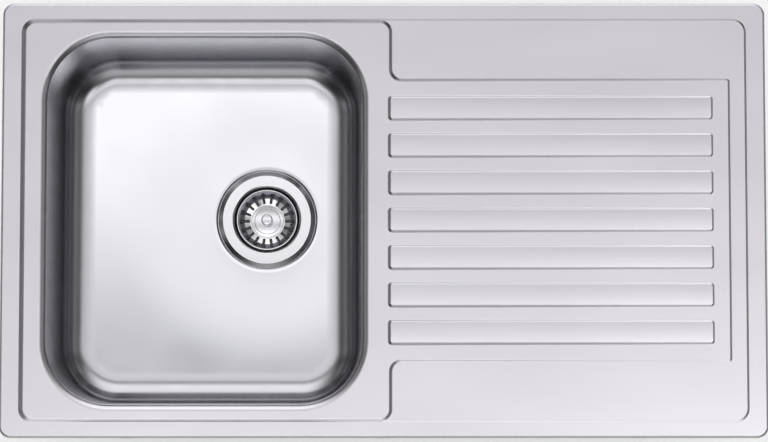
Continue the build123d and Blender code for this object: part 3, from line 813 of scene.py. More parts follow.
def plain_ground(size, rib, bowl):
    """The sheet but for its ribbed ground: rolled edge, border, ledges, sunk area and lip."""
    skin = Skin()
    half_length, half_width = outline_half()
    outline = rectangle(-half_length, half_length, -half_width, half_width)
    corner = [size.outline_radius / MM] * 4
    roll = size.edge_roll / MM
    loops = [rolled(skin, outline, corner, roll, border_level(), 1, EDGE_STEPS, EDGE_MESH)]
    opening, bowl_corner = bowl_opening(bowl)
    lip = bowl.lip / MM
    wet = size.wet_level / MM
    loops.append(rolled(skin, opening, bowl_corner, lip, wet, -1, LIP_STEPS, LIP_MESH))

    corners, radii = wet_corners(size)
    for out in CONTOUR_RINGS:
        loops.append((contour(corners, radii, out, *CONTOUR_MESH)[0], True, None))
    field_x, field_y = field_half(size)
    start = corners[1][0] - radii[1]
    field = [(start, -field_y), (field_x, -field_y), (field_x, field_y), (start, field_y)]
    turn = size.border_corner / MM
    for out in BORDER_RINGS:
        ring, _ = contour(field, [0, turn, turn, 0], out, *CONTOUR_MESH, closed=False)
        loops.append((ring, False, None))

    x0, x1 = patch_ends(rib)
    pitch = rib.pitch / MM
    reach = rib.count * pitch / 2
    across = spaced(-pitch / 2, pitch / 2, PATCH_ACROSS)[:-1]
    ys = np.concatenate([across + i * pitch - reach + pitch / 2 for i in range(rib.count)] + [[reach]])
    loops.append((border_points(spaced(x0, x1, PATCH_ALONG), ys), True, None))

    def inside(x, y):
        off_ribs = (x < x0) | (x > x1) | (np.abs(y) > reach)
        in_outline = outline_distance(outline, corner, x, y) < -roll
        off_bowl = outline_distance(opening, bowl_corner, x, y) > lip
        return off_ribs & in_outline & off_bowl

    skin.fill(loops, [], inside, deck_surface(size, rib))
    return skin.arrays()


class SINK_OT_deck(bpy.types.Operator):
    """Press the sheet: border, ledges, sunk area, ribs, rolled edge and lip"""
    bl_idname = "sink.deck"
    bl_label = "Pressed sheet"

    def execute(self, context):
        size = context.scene.sink_sheet
        rib = context.scene.sink_ribs
        steel = finish(stainless_satin_ground)
        points, away, faces = plain_ground(size, rib, context.scene.sink_bowl)
        patch = rib_patch(size, rib)
        patch.data.transform(Matrix.Translation((0, -(rib.count - 1) * rib.pitch / 2, 0)))
        ribbed, ribbed_faces = copied(patch, copies_tree("ribs side by side"), count=rib.count,
                                      step=(0.0, rib.pitch, 0.0), turn=0.0, finish=steel)
        _, ribbed_away = deck_surface(size, rib)(ribbed[:, 0], ribbed[:, 1])
        places = {tuple(p): i for i, p in enumerate(np.round(points, 2))}
        joined = [places.get(tuple(p), len(points) + i) for i, p in enumerate(np.round(ribbed, 2))]
        faces += [tuple(joined[v] for v in face) for face in ribbed_faces]
        whole = Skin([*points, *ribbed], [*away, *ribbed_away], faces)
        deck = sheet_object("pressed_sheet", *whole.arrays(), size.sheet / MM)
        deck.data.materials.append(steel)
        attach(deck, "sink")
        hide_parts("sink_deck")
        return {"FINISHED"}


# ---- the bowl ----
def wall_profile(bowl):
    """The bowl's wall from the weld to the floor: how far in and how high, and its directions."""
    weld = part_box("sink_bowl")[1].z / MM
    ground = -bowl.depth / MM
    lean = math.tan(bowl.draft) * (weld - ground)
    radius = bowl.floor_radius / MM
    line = rounded_line([(0, weld), (lean, ground), (lean + radius, ground)], [radius], 18)[:-1]
    straight = np.array([line[0] * (1 - s) + line[1] * s for s in np.linspace(0, 1, 13)])
    line = np.concatenate([straight, line[2:]])
    ways = np.gradient(line, axis=0)
    return line, ways / np.linalg.norm(ways, axis=1)[:, None]


def floor_lift(bowl, waste, clear):
    """A function that gives the floor's fall towards the waste, fading out up the walls."""
    def lift(x, y, z):
        far = np.hypot(x - waste[0], y - waste[1]) - clear
        share = np.clip(far / (bowl.fall_reach / MM), 0, 1)
        fade = np.clip(1 - (z + bowl.depth / MM) / (bowl.fall_fade / MM), 0, 1)
        return bowl.floor_fall / MM * smooth_fade(share) * smooth_fade(fade)
    return lift


def recess_rings(bowl, waste, flange_radius):
    """The step down to the recess for the flange, as rings of points with their directions."""
    ground = -bowl.depth / MM
    foot = gasket_foot()
    rim = flange_radius + bowl.recess_gap / MM
    line = rounded_line([(rim + bowl.recess_ledge / MM, ground), (rim + ground - foot, ground),
                         (rim, foot), (bowl.waste_hole / MM, foot)], [1.2, 0.6], 6)
    rings = []
    for radius, height in line:
        ring, out = circle(radius, waste, RECESS_STEPS)
        rings.append((lifted(ring, height), lifted(0 * out, 1.0)))
    return rings, line[0][0]


class SINK_OT_bowl(bpy.types.Operator):
    """Draw the bowl: walls, floor with its fall, recess and waste hole"""
    bl_idname = "sink.bowl"
    bl_label = "Bowl"

    def execute(self, context):
        bowl = context.scene.sink_bowl
        waste, flange_radius, _, _ = upright("waste_flange")
        opening, corner = bowl_opening(bowl)
        ground = -bowl.depth / MM
        lift = floor_lift(bowl, waste, flange_radius + 1)
        skin = Skin()
        rings = []
        profile, ways = wall_profile(bowl)
        for (inset, height), way in zip(profile, ways):
            ring, out = contour(opening, corner, -inset, *LIP_MESH)
            z = height + lift(ring[:, 0], ring[:, 1], height)
            rings.append((lifted(ring, z), lifted(out * way[1], way[0])))
        loops = [(ring, True, skin.rings(rings)[-1])]
        rings, ledge = recess_rings(bowl, waste, flange_radius)
        loops.append((rings[0][0][:, :2], True, skin.rings(rings)[0]))

        inner = rectangle(opening[0][0] + inset, opening[1][0] - inset,
                          opening[0][1] + inset, opening[2][1] - inset)
        inner_corner = [corner[0] - inset] * 4
        grid = ground_points(inner[0][0], inner[1][0], inner[0][1], inner[2][1], FLOOR_STEP)

        def surface(x, y):
            near = 0.1
            dx = lift(x + near, y, ground) - lift(x - near, y, ground)
            dy = lift(x, y + near, ground) - lift(x, y - near, ground)
            return ground + lift(x, y, ground), np.stack([-dx, -dy, np.full(x.shape, 2 * near)], 1)

        def inside(x, y, margin=0):
            on_floor = outline_distance(inner, inner_corner, x, y) < -margin
            return on_floor & (np.hypot(x - waste[0], y - waste[1]) > ledge + margin)

        skin.fill(loops, grid[inside(grid[:, 0], grid[:, 1], 3)], inside, surface)
        points, _, faces = skin.arrays()
        drawn = sheet_object("drawn_bowl", points, smooth_directions(points, faces), faces,
                             context.scene.sink_sheet.sheet / MM)
        places = mesh_points(drawn.data)
        edge = outline_distance(inner, inner_corner, places[:, 0], places[:, 1])
        # This share rises from the floor to the walls: the finish makes them rougher with drawing marks and
        # paints them darker as painted shade.
        marks = drawn.data.attributes.new("drawing_marks", "FLOAT", "POINT")
        marks.data.foreach_set("value", smooth_fade(np.clip((edge - MARKS_AND_SHADE_START) / MARKS_AND_SHADE_BLEND, 0, 1)))
        drawn.data.materials.append(finish(stainless_drawn_polished))
        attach(drawn, "sink")
        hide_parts("sink_bowl")
        return {"FINISHED"}


def smooth_directions(points, faces):
    """A direction for each point, from the faces round it."""
    total = np.zeros_like(points)
    for f in faces:
        corners = points[list(f)]
        normal = np.cross(corners[1] - corners[0], corners[2] - corners[0])
        size = np.linalg.norm(normal)
        if size < 1e-12:
            continue
        normal = normal / size
        count = len(f)
        for k, v in enumerate(f):
            back = corners[k - 1] - corners[k]
            on = corners[(k + 1) % count] - corners[k]
            cos = back @ on / (np.linalg.norm(back) * np.linalg.norm(on) + 1e-12)
            total[v] += normal * math.acos(max(-1.0, min(1.0, cos)))
    return total / (np.linalg.norm(total, axis=1)[:, None] + 1e-12)


# ---- the waste ----
def cup_opening(start, sizes):
    """The outline of one opening in the cup's floor, between the spoke at start and the next."""
    loop = []
    for radius, count, order in ((sizes.opening_outer, 20, 1), (sizes.opening_inner, 12, -1)):
        lean = math.asin(sizes.spoke_half / radius)
        turn = np.linspace(start + lean, start + math.radians(120) - lean, count)[::order]
        loop += [(radius / MM * math.cos(a), radius / MM * math.sin(a)) for a in turn]
    return np.array(loop)


class SINK_OT_flange(bpy.types.Operator):
    """Press the strainer flange and its cup"""
    bl_idname = "sink.flange"
    bl_label = "Strainer flange"

    def execute(self, context):
        sizes = context.scene.sink_waste
        centre, radius, foot, top = upright("waste_flange")
        sheet = sizes.flange_sheet / MM
        cup = foot + sheet
        grid = sizes.grid_radius / MM
        line = rounded_line([(radius, gasket_foot() + sizes.flange_rise / MM),
                             (radius - sizes.flange_slope / MM, top), (sizes.cup_mouth / MM, top),
                             (sizes.cup_foot / MM, cup), (grid, cup)], [1.2, 3.0, 3.0], 10)
        rings = []
        for (r, z), way in zip(line, np.gradient(line, axis=0)):
            ring, out = circle(r, centre, FLANGE_STEPS)
            way = way / np.linalg.norm(way)
            rings.append((lifted(ring, z), lifted(out * way[1], -way[0])))
        skin = Skin()
        loops = [(ring, True, skin.rings(rings)[-1])]
        hole = sizes.screw_hole / MM
        loops.append((circle(hole, centre, HOLE_STEPS)[0], True, None))
        spokes = [math.radians(angle) for angle in (0, 120, 240)]
        for start in spokes:
            loops.append((cup_opening(start, sizes) + np.array(centre), True, None))

        def inside(x, y):
            dx = x - centre[0]
            dy = y - centre[1]
            reach = np.hypot(dx, dy) * MM
            solid = (reach > sizes.opening_outer) | (reach < sizes.opening_inner)
            for start in spokes:
                along = dx * math.cos(start) + dy * math.sin(start)
                across = -dx * math.sin(start) + dy * math.cos(start)
                solid |= (along > 0) & (np.abs(across) * MM < sizes.spoke_half)
            return solid & (reach > sizes.screw_hole - 0.05 * MM)

        def surface(x, y):
            return np.full(x.shape, cup), np.tile([0.0, 0.0, 1.0], (len(x), 1))

        skin.fill(loops, [], inside, surface)
        flange = sheet_object("strainer_flange", *skin.arrays(), sheet)
        flange.data.materials.append(finish(stainless_bright_polished))
        flange.data.materials.append(finish(stainless_press_dull_painted_shade))
        # Faces of the cup near the middle get the near-black finish, painted shade under the basket.
        for polygon in flange.data.polygons:
            middle = polygon.center / MM
            reach = math.hypot(middle.x - centre[0], middle.y - centre[1])
            polygon.material_index = int(reach < sizes.unpolished_shaded_cup / MM)
        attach(flange, "sink")
        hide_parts("waste_flange")
        return {"FINISHED"}


class SINK_OT_basket(bpy.types.Operator):
    """Press the basket with its ring of slots"""
    bl_idname = "sink.basket"
    bl_label = "Basket"

    def execute(self, context):
        sizes = context.scene.sink_waste
        centre = upright("waste_flange")[0]
        _, _, low, rim_level = upright("basket")
        sheet = sizes.basket_sheet / MM
        foot = low + sheet
        hole = sizes.basket_hole / MM
        rim = sizes.basket_rim / MM
        line = rounded_line([(hole, foot), (sizes.basket_floor / MM, foot),
                             (sizes.basket_cone / MM, foot + sizes.cone_rise / MM),
                             (sizes.basket_wall / MM, rim_level), (rim, rim_level)], [2.0, 2.5, 0.6], 6)
        half = math.pi / sizes.slots

        def surface(x, y):
            reach = np.hypot(x, y)
            z, outer, inner = (np.interp(reach + h, line[:, 0], line[:, 1]) for h in (0, 0.05, -0.05))
            rise = (outer - inner) * 10
            away = np.stack([-rise * x / reach, -rise * y / reach, np.ones_like(x)], 1)
            return z, away / np.linalg.norm(away, axis=1)[:, None]

        radii = sorted(set(np.round(line[:, 0], 3)) | set(SLOT_RINGS))
        turn = np.linspace(-half, half, 5)
        loops = [(np.stack([r * np.cos(turn), r * np.sin(turn)], 1), False, None) for r in radii]
        for side in (-half, half):
            loops.append((np.outer(radii, [math.cos(side), math.sin(side)]), False, None))
        slot_half = sizes.slot_half / MM
        slot = rectangle(sizes.slot_start / MM, sizes.slot_end / MM, -slot_half, slot_half)
        slot_corner = [sizes.slot_corner / MM] * 4
        loops.append((contour(slot, slot_corner, 0, *SLOT_MESH)[0], True, None))

        def inside(x, y):
            reach = np.hypot(x, y)
            off_seam = np.abs(np.arctan2(y, x)) < half - 1e-4
            off_slot = outline_distance(slot, slot_corner, x, y) > 0
            return off_slot & off_seam & (reach > hole) & (reach < rim)

        skin = Skin()
        skin.fill(loops, [], inside, surface)
        points, _, faces = skin.arrays()
        steel = finish(stainless_bright_polished)
        ring, faces = copied(mesh_object("basket_slot", points, faces), copies_tree("slots in a ring"),
                             count=sizes.slots, step=(0.0, 0.0, 0.0), turn=2 * half, finish=steel)
        whole = Skin(ring + np.array([*centre, 0]), surface(ring[:, 0], ring[:, 1])[1], faces)
        basket = sheet_object("strainer_basket", *whole.arrays(), sheet)
        basket.data.materials.append(steel)
        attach(basket, "basket")
        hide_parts("basket")
        return {"FINISHED"}


def knob_profile(foot, top, neck_foot):
    """The knob's outline: stem with its notch for the catch, neck, and head with its groove."""
    stem, notch, neck, head = 2.3, 1.8, 3.6, 6.6
    notch_foot, notch_top = foot + 3.0, foot + 4.2
    head_foot = top - 11.0
    groove_foot, groove_top, groove = top - 6.2, top - 4.8, head - 0.6
    corners = [(0, foot), (stem, foot), (stem, notch_foot), (notch, notch_foot), (notch, notch_top),
               (stem, notch_top), (stem, neck_foot), (neck, neck_foot), (neck, head_foot),
               (head, head_foot), (head, groove_foot), (groove, groove_foot), (groove, groove_top),
               (head, groove_top), (head, top), (0, top)]
    return rounded_line(corners, [0.3, 0, 0, 0, 0, 0, 0.2, 0.8, 1.0, 0.2, 0.15, 0.15, 0.2, 1.4], 6)


class SINK_OT_knob(bpy.types.Operator):
    """Turn the disc, and the knob with its neck and stem"""
    bl_idname = "sink.knob"
    bl_label = "Disc and knob"

    def execute(self, context):
        steel = finish(stainless_bright_polished)
        centre = upright("waste_flange")[0]
        _, _, low, high = upright("basket_disc")
        hole, shoulder, radius = 2.3, 15.0, 19.0
        step = low + 1.5
        line = rounded_line([(hole, low), (radius, low), (radius, step), (shoulder, step),
                             (shoulder, high), (hole, high)], [0.2, 0.6, 0.4, 0.4], 5)
        disc = turned_object("basket_disc_turned", line, centre)
        disc.data.materials.append(steel)
        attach(disc, "basket")
        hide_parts("basket_disc")

        _, _, foot, top = upright("basket_knob")
        knob = turned_object("basket_knob_turned", knob_profile(foot, top, high), centre, 64)
        knob.data.materials.append(steel)
        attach(knob, "basket")
        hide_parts("basket_knob")
        return {"FINISHED"}


# ---- finishes ----
def finish(recipe):
    """The material that a recipe describes, made once and named for it."""
    material = bpy.data.materials.get(recipe.__name__)
    if material is None:
        material = bpy.data.materials.new(recipe.__name__)
        material.use_nodes = True
        tree = material.node_tree
        recipe(tree, tree.nodes["Principled BSDF"], bpy.context.scene.sink_finish)
    return material


def set_shader(shader, **values):
    """Set constants on the shader's own sockets."""
    for name, value in values.items():
        shader.inputs[name.replace("_", " ")].default_value = value


def shade(colour, factor):
    """A colour made lighter or darker by a factor."""
    return [min(1.0, c * factor) for c in colour[:3]] + [1.0]


def per_feature(size_mm):
    """The texture scale at which a pattern's features have a size in millimetres."""
    return 1 / (size_mm * MM)


def grain(tree, size_mm, stretch=(1.0, 1.0, 1.0), detail=3.0):
    """A pattern of soft grains on the piece's own coordinates, drawn out where stretch is small."""
    place = add_node(tree, "ShaderNodeTexCoord").outputs["Object"]
    laid = add_node(tree, "ShaderNodeMapping", {"Vector": place, "Scale": stretch})
    grains = add_node(tree, "ShaderNodeTexNoise",
                      {"Vector": laid.outputs[0], "Scale": per_feature(size_mm), "Detail": detail})
    return grains.outputs["Fac"]


def follow(tree, shader, pattern, roughness=None, relief=None, colours=None, share=(0.3, 0.7)):
    """Let a finish follow a pattern.

    roughness goes from its first value to its second, relief is a depth in millimetres and a
    strength, and the two colours meet over a share of the pattern's range.
    """
    if roughness:
        spread = add_node(tree, "ShaderNodeMapRange",
                          {"Value": pattern, "To Min": roughness[0], "To Max": roughness[1]})
        tree.links.new(spread.outputs[0], shader.inputs["Roughness"])
    if relief:
        raised = add_node(tree, "ShaderNodeBump",
                          {"Height": pattern, "Distance": relief[0] * MM, "Strength": relief[1]})
        tree.links.new(raised.outputs[0], shader.inputs["Normal"])
    if colours:
        part = add_node(tree, "ShaderNodeMapRange",
                        {"Value": pattern, "From Min": share[0], "From Max": share[1]})
        mixed = add_node(tree, "ShaderNodeMix",
                         {0: part.outputs[0], 6: colours[0], 7: colours[1]}, data_type="RGBA")
        tree.links.new(mixed.outputs[2], shader.inputs["Base Color"])


def stainless_satin_ground(tree, shader, colours):
    """18/10 stainless sheet, fine ground along its length: it spreads reflections to a silky grey."""
    # The belt's scratches are 0.05 mm apart, too fine to show, so they are drawn 0.8 mm apart.
    lines = grain(tree, 0.8, (0.02, 1.0, 1.0))
    follow(tree, shader, lines, roughness=(0.27, 0.36), relief=(0.2, 0.06))
    wipes = grain(tree, 90.0, (0.4, 1.0, 1.0), 1.0)
    follow(tree, shader, wipes, colours=(shade(colours.satin, 0.97), shade(colours.satin, 1.03)))
    set_shader(shader, Metallic=1.0)


def stainless_drawn_polished(tree, shader, colours):
    """The same steel, deep-drawn and mop-polished: a soft mirror, rougher with drawing marks on its walls,
    where its colour is painted darker as painted shade.
    """
    waves = grain(tree, 60.0, (1.0, 1.0, 0.35), 1.0)
    scuffs = grain(tree, 22.0, (1.0, 1.0, 0.35))
    drawn = add_node(tree, "ShaderNodeAttribute", attribute_name="drawing_marks").outputs["Fac"]
    floor = add_node(tree, "ShaderNodeMapRange", {"Value": waves, "To Min": 0.11, "To Max": 0.15})
    walls = add_node(tree, "ShaderNodeMapRange", {"Value": scuffs, "To Min": 0.17, "To Max": 0.29})
    both = add_node(tree, "ShaderNodeMix", {0: drawn, 2: floor.outputs[0], 3: walls.outputs[0]})
    tree.links.new(both.outputs[0], shader.inputs["Roughness"])
    follow(tree, shader, waves, relief=(0.8, 0.02))
    # Walls and fillets painted down to 0.72 of the steel's colour: painted shade.
    follow(tree, shader, drawn, colours=(colours.polished, shade(colours.polished, 0.72)), share=(0.0, 1.0))
    set_shader(shader, Metallic=1.0)


def stainless_press_dull_painted_shade(tree, shader, colours):
    """Stainless as it leaves the press, not polished, with its colour painted near black as painted shade
    under the basket.
    """
    # Colour at 0.16 to 0.28 of the bright steel: painted shade.
    follow(tree, shader, grain(tree, 9.0), roughness=(0.45, 0.6), relief=(0.2, 0.1),
           colours=(shade(colours.bright, 0.16), shade(colours.bright, 0.28)))
    set_shader(shader, Metallic=1.0)


def stainless_bright_polished(tree, shader, colours):
    """Stainless pressings and turnings, bright polished: near mirrors with faint wiping marks."""
    follow(tree, shader, grain(tree, 6.0, (1.0, 0.25, 1.0)), roughness=(0.12, 0.20),
           relief=(0.3, 0.015), colours=(shade(colours.bright, 0.98), colours.bright))
    set_shader(shader, Metallic=1.0)


def galvanised_strip(tree, shader, colours):
    """Hot-dip galvanised strip: dull zinc with spangles, each crystal a shade of its own."""
    place = add_node(tree, "ShaderNodeTexCoord").outputs["Object"]
    spangle = add_node(tree, "ShaderNodeTexVoronoi", {"Vector": place, "Scale": per_feature(7.0)})
    crystal = add_node(tree, "ShaderNodeSeparateColor", {0: spangle.outputs["Color"]}).outputs[0]
    zinc = colours.galvanised
    follow(tree, shader, crystal, roughness=(0.32, 0.52),
           colours=(shade(zinc, 0.82), shade(zinc, 1.15)), share=(0.0, 1.0))
    follow(tree, shader, grain(tree, 1.2), relief=(0.1, 0.15))
    set_shader(shader, Metallic=1.0)


def zinc_plated_passivated(tree, shader, colours):
    """Stamped steel, bright zinc plated and passivated: bluish, with warm clouds and soft dents."""
    follow(tree, shader, grain(tree, 9.0, detail=2.0), colours=(colours.zinc, colours.zinc_cloud),
           share=(0.42, 0.72))
    follow(tree, shader, grain(tree, 0.7), roughness=(0.22, 0.38), relief=(0.08, 0.2))
    set_shader(shader, Metallic=1.0)


def spring_steel_oiled(tree, shader, colours):
    """Drawn spring wire, oiled: dark grey with lines along the draw."""
    follow(tree, shader, grain(tree, 1.5, (1.0, 1.0, 6.0)), roughness=(0.22, 0.36), relief=(0.05, 0.2),
           colours=(shade(colours.spring, 0.75), shade(colours.spring, 1.1)))
    set_shader(shader, Metallic=1.0)


def brass_turned(tree, shader, colours):
    """Free-cutting brass, turned on a lathe: warm yellow with fine rings that catch the light."""
    # The tool's feed is 0.1 mm a turn, too fine to show, so the rings are drawn 0.6 mm apart.
    follow(tree, shader, grain(tree, 0.6, (0.05, 0.05, 1.0)), roughness=(0.16, 0.30), relief=(0.05, 0.2))
    follow(tree, shader, grain(tree, 5.0), colours=(colours.brass, shade(colours.brass, 0.8)),
           share=(0.45, 0.8))
    set_shader(shader, Metallic=1.0)


def polypropylene_moulded(tree, shader, colours):
    """Polypropylene, injection moulded in a spark-eroded tool: off-white, waxy, finely grained."""
    # The tool's grain is 0.1 mm, too fine to show, so it is drawn at 0.7 mm.
    follow(tree, shader, grain(tree, 0.7), roughness=(0.38, 0.52), relief=(0.05, 0.25))
    flow = grain(tree, 22.0, (1.0, 1.0, 0.4))
    follow(tree, shader, flow, colours=(shade(colours.plastic, 0.93), colours.plastic))
    set_shader(shader, IOR=1.49, Subsurface_Weight=0.15, Subsurface_Scale=1.5 * MM)


def epdm_rubber_moulded(tree, shader, colours):
    """EPDM rubber, compression moulded: matt black with a grey bloom."""
    follow(tree, shader, grain(tree, 8.0), roughness=(0.55, 0.75),
           colours=(colours.rubber, shade(colours.rubber, 2.0)), share=(0.45, 0.8))
    follow(tree, shader, grain(tree, 0.5), relief=(0.06, 0.25))
    set_shader(shader, IOR=1.52, Sheen_Weight=0.1)


def polyethylene_foam_cut(tree, shader, colours):
    """Closed-cell polyethylene foam strip, cut from a sheet: matt, with open cells at the cut."""
    place = add_node(tree, "ShaderNodeTexCoord").outputs["Object"]
    cells = add_node(tree, "ShaderNodeTexVoronoi", {"Vector": place, "Scale": per_feature(0.8)})
    follow(tree, shader, cells.outputs["Distance"], roughness=(0.95, 0.8), relief=(0.25, 0.6),
           colours=(shade(colours.foam, 0.6), shade(colours.foam, 1.15)), share=(0.1, 0.6))
    set_shader(shader, IOR=1.5, Sheen_Weight=0.15)


def bitumen_damping_sheet(tree, shader, colours):
    """Bitumen damping sheet, calendered with mineral filler: dull dark grey, speckled and ridged."""
    filler = grain(tree, 0.9, detail=4.0)
    follow(tree, shader, filler, roughness=(0.7, 0.88),
           colours=(shade(colours.pad, 0.7), shade(colours.pad, 1.35)), share=(0.35, 0.7))
    place = add_node(tree, "ShaderNodeTexCoord").outputs["Object"]
    ridges = add_node(tree, "ShaderNodeTexWave",
                      {"Vector": place, "Scale": per_feature(6.0) / (2 * math.pi) * 0.5, "Distortion": 0.6},
                      bands_direction="DIAGONAL")
    both = add_node(tree, "ShaderNodeMath", {0: filler, 1: 0.3, 2: ridges.outputs["Fac"]},
                    operation="MULTIPLY_ADD")
    follow(tree, shader, both.outputs[0], relief=(0.4, 0.5))
    set_shader(shader, IOR=1.6)


def dress(recipe, *names):
    """Give packed solids their finish."""
    for name in names:
        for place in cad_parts[name].material_slots:
            place.material = finish(recipe)


# ---- pieces below the sheet ----
def screw_core(name, node, foot, tip, centre, sizes):
    """A clamp screw without its thread: its solid's head, and a turned shank from foot to tip."""
    shank = sizes.shank_radius / MM
    core = shank - sizes.screw_depth / MM
    sunk, runout, chamfer = 0.5, 0.4, 0.5
    line = [(0, foot - sunk), (shank, foot - sunk), (shank, foot + 1.0), (core, foot + 1.0 + runout),
            (core, tip - chamfer), (core - chamfer, tip), (0, tip)]
    screw = turned_object(name, line, centre, 24)
    shape = bmesh.new()
    shape.from_mesh(node.data)
    shape.transform(node.matrix_world)
    bmesh.ops.remove_doubles(shape, verts=shape.verts, dist=1e-6)
    everything = [*shape.verts, *shape.edges, *shape.faces]
    cut = (0, 0, (foot - 0.02) * MM)
    bmesh.ops.bisect_plane(shape, geom=everything, dist=1e-7, plane_co=cut, plane_no=(0, 0, 1),
                           clear_outer=True)
    bmesh.ops.holes_fill(shape, edges=[e for e in shape.edges if e.is_boundary])
    shape.from_mesh(screw.data)
    shape.to_mesh(screw.data)
    shape.free()
    return screw


class SINK_OT_fixings(bpy.types.Operator):
    """Finish the rails, hangers, nuts, claws and clamp screws"""
    bl_idname = "sink.fixings"
    bl_label = "Rails and clamps"

    def execute(self, context):
        dress(galvanised_strip, *["fixing_rail_" + side for side in SIDES])
        dress(zinc_plated_passivated, "clamp_hangers", "clamp_nuts")
        dress(zinc_plated_passivated, *["clamp_claw_" + place for place in PLACES])
        sizes = context.scene.sink_threads
        winding = thread_tree("screw thread")
        for place in PLACES:
            packed = "clamp_screw_" + place
            centre, _, low, tip = upright(packed)
            neck = low + sizes.head_height / MM
            screw = screw_core("screw_" + place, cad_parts[packed], neck, tip, centre, sizes)
            start, end = neck + 1.2, tip - 0.6
            grown(screw, winding, foot=(centre[0] * MM, centre[1] * MM, start * MM),
                  length=(end - start) * MM, pitch=sizes.screw_pitch,
                  radius=sizes.shank_radius - sizes.screw_depth, ridge=sizes.screw_depth, steps=16,
                  finish=finish(zinc_plated_passivated))
            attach(screw, "screw_" + place)
            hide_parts(packed)
        return {"FINISHED"}


class SINK_OT_waste(bpy.types.Operator):
    """Finish the waste body with its outlet, insert, screw, gaskets, seal and catch"""
    bl_idname = "sink.waste"
    bl_label = "Waste body"

    def execute(self, context):
        dress(polypropylene_moulded, "waste_body")
        sizes = context.scene.sink_threads
        centre, collar, foot, top = upright("waste_outlet_pipe")
        crest = collar - sizes.collar_width / MM
        core = crest - sizes.outlet_depth / MM
        bore = crest - sizes.outlet_wall / MM
        edge = top - sizes.collar_height / MM
        line = rounded_line([(bore, foot), (core, foot), (core, edge), (collar, edge), (collar, top),
                             (bore, top)], [0.6, 0.3, 0.8, 0.4], 4)
        pipe = turned_object("outlet_pipe", line, centre)
        start, end = foot + 2.2, edge - 1.4
        grown(pipe, thread_tree("outlet thread"), foot=(centre[0] * MM, centre[1] * MM, start * MM),
              length=(end - start) * MM, pitch=sizes.outlet_pitch, radius=core * MM,
              ridge=sizes.outlet_depth, steps=64, finish=finish(polypropylene_moulded))
        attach(pipe, "sink")
        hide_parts("waste_outlet_pipe")
        dress(brass_turned, "waste_insert")
        dress(stainless_bright_polished, "waste_centre_screw")
        dress(epdm_rubber_moulded, "waste_upper_gasket", "waste_lower_gasket", "basket_seal")
        dress(spring_steel_oiled, "basket_catch")
        return {"FINISHED"}


class SINK_OT_linings(bpy.types.Operator):
    """Finish the foam strip and the damping pads"""
    bl_idname = "sink.linings"
    bl_label = "Foam strip and pads"

    def execute(self, context):
        dress(polyethylene_foam_cut, "rim_seal")
        dress(bitumen_damping_sheet, "bowl_sound_pad", "drainer_sound_pad")
        return {"FINISHED"}


# ---- stage ----
def studio_camera(stage):
    """A camera that looks down on the sheet, nearly from straight above."""
    camera = bpy.data.objects.new("camera", bpy.data.cameras.new("camera"))
    bpy.context.scene.collection.objects.link(camera)
    camera.data.sensor_width = 36.0
    camera.data.lens = camera.data.sensor_width * stage.distance / stage.pixel / stage.width
    camera.data.clip_end = 50
    # The place on the sheet that lies in the middle of the picture
    aim = Vector((0.00028, -0.0018, border_level() * MM))
    back = Vector((0, -math.sin(stage.tilt), math.cos(stage.tilt)))
    camera.location = aim + back * stage.distance
    camera.rotation_euler = (stage.tilt, 0, 0)
    bpy.context.scene.camera = camera


def studio_floor(stage, colours):
    """A plain pale floor just below the sink, which looks white to the camera."""
    level = (cad_bounds[0][2] - 0.0005) / MM
    side = 6 / MM
    floor = mesh_object("floor", [(x, y, level) for x, y in rectangle(-side, side, -side, side)],
                        [(0, 1, 2, 3)])
    paint = bpy.data.materials.new("matt_white_backdrop_paint")
    paint.use_nodes = True
    tree = paint.node_tree
    shader = tree.nodes["Principled BSDF"]
    set_shader(shader, Base_Color=colours.backdrop, Roughness=0.9, Emission_Color=linear("#FFFFFF"))
    seen = add_node(tree, "ShaderNodeLightPath").outputs["Is Camera Ray"]
    glow = add_node(tree, "ShaderNodeMapRange", {"Value": seen, "To Max": stage.glow})
    tree.links.new(glow.outputs[0], shader.inputs["Emission Strength"])
    floor.data.materials.append(paint)


def studio_softbox(name, place, power, size):
    """A round softbox that looks at the sink and isn't seen itself."""
    softbox = bpy.data.lights.new(name, "AREA")
    softbox.shape = "DISK"
    softbox.size = size
    softbox.energy = power
    lamp = bpy.data.objects.new(name, softbox)
    lamp.location = place
    lamp.rotation_euler = Vector(place).to_track_quat("Z", "Y").to_euler()
    lamp.visible_camera = False
    bpy.context.scene.collection.objects.link(lamp)


def light_ramp(tree, share, stops):
    """A light level that follows a direction's share through a list of stops."""
    place = add_node(tree, "ShaderNodeMapRange", {"Value": share, "From Min": -1.0, "From Max": 1.0})
    ramp = add_node(tree, "ShaderNodeValToRGB", {"Fac": place.outputs[0]})
    elements = ramp.color_ramp.elements
    while len(elements) < len(stops):
        elements.new(0.5)
    for element, (way, level) in zip(elements, stops):
        element.position = (way + 1) / 2
        element.color = (level, level, level, 1)
    return ramp.outputs["Color"]


def studio_sky(stage, colours):
    """Soft light from all round, in bands that the steel mirrors, and plain walls for the camera."""
    world = bpy.data.worlds.new("studio")
    bpy.context.scene.world = world
    world.use_nodes = True
    tree = world.node_tree
    way = add_node(tree, "ShaderNodeTexCoord").outputs["Generated"]
    parts = add_node(tree, "ShaderNodeSeparateXYZ", {0: way})
    along = light_ramp(tree, parts.outputs["X"], LIGHT_ALONG)
    across = light_ramp(tree, parts.outputs["Y"], LIGHT_ACROSS)
    both = add_node(tree, "ShaderNodeMix", {0: 1.0, 6: along, 7: across},
                    data_type="RGBA", blend_type="MULTIPLY")
    seen = add_node(tree, "ShaderNodeLightPath").outputs["Is Camera Ray"]
    shown = add_node(tree, "ShaderNodeMix", {0: seen, 6: both.outputs[2], 7: colours.surround},
                     data_type="RGBA")
    backdrop = tree.nodes["Background"]
    tree.links.new(shown.outputs[2], backdrop.inputs["Color"])
    backdrop.inputs["Strength"].default_value = stage.light


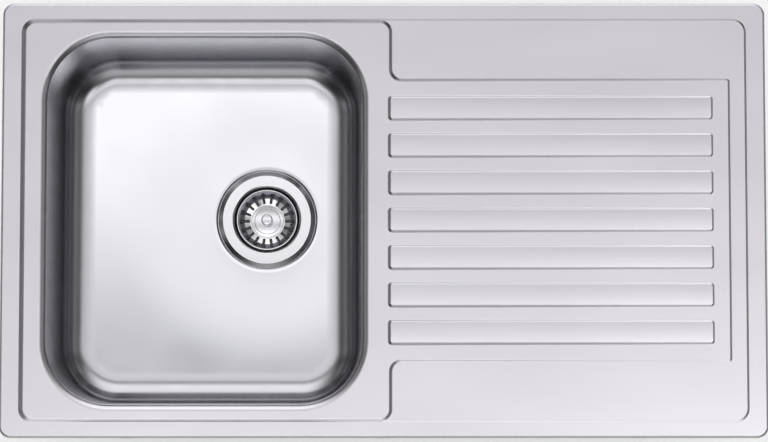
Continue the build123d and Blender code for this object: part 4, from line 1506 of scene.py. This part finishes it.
class SINK_OT_stage(bpy.types.Operator):
    """Set up the camera, the floor and the light"""
    bl_idname = "sink.stage"
    bl_label = "Stage"

    def execute(self, context):
        stage = context.scene.sink_stage
        colours = context.scene.sink_finish
        context.scene.view_settings.view_transform = "Standard"
        studio_camera(stage)
        studio_floor(stage, colours)
        for name, place, power in SOFTBOXES:
            studio_softbox(name, place, power, stage.softbox)
        studio_sky(stage, colours)
        return {"FINISHED"}


class SINK_PT_panel(bpy.types.Panel):
    """The sink's pieces in the sidebar"""
    bl_idname = "SINK_PT_panel"
    bl_label = "Kitchen sink"
    bl_space_type = "VIEW_3D"
    bl_region_type = "UI"
    bl_category = "Sink"

    def draw(self, context):
        for operator in OPERATORS:
            self.layout.operator(operator.bl_idname)
        for name, group in GROUPS.items():
            box = self.layout.box()
            box.label(text=group.__doc__)
            settings = getattr(context.scene, name)
            for key in group.__annotations__:
                box.prop(settings, key)


OPERATORS = [SINK_OT_stage, SINK_OT_deck, SINK_OT_bowl, SINK_OT_flange, SINK_OT_basket,
             SINK_OT_knob, SINK_OT_waste, SINK_OT_fixings, SINK_OT_linings]
GROUPS = {
    "sink_sheet": SinkSheetSize,
    "sink_ribs": SinkRibSize,
    "sink_bowl": SinkBowlSize,
    "sink_waste": SinkWasteSize,
    "sink_threads": SinkThreads,
    "sink_finish": SinkFinish,
    "sink_stage": SinkStage,
}


def register():
    """Register the groups, operators and panel."""
    for name, group in GROUPS.items():
        bpy.utils.register_class(group)
        setattr(bpy.types.Scene, name, bpy.props.PointerProperty(type=group))
    for operator in OPERATORS:
        bpy.utils.register_class(operator)
    bpy.utils.register_class(SINK_PT_panel)


def unregister():
    """Take them out again."""
    bpy.utils.unregister_class(SINK_PT_panel)
    for operator in reversed(OPERATORS):
        bpy.utils.unregister_class(operator)
    for name, group in GROUPS.items():
        delattr(bpy.types.Scene, name)
        bpy.utils.unregister_class(group)


def main():
    """Build every piece."""
    register()
    bpy.ops.sink.stage()
    bpy.ops.sink.deck()
    bpy.ops.sink.bowl()
    bpy.ops.sink.flange()
    bpy.ops.sink.basket()
    bpy.ops.sink.knob()
    bpy.ops.sink.waste()
    bpy.ops.sink.fixings()
    bpy.ops.sink.linings()


if __name__ == "__main__":
    main()
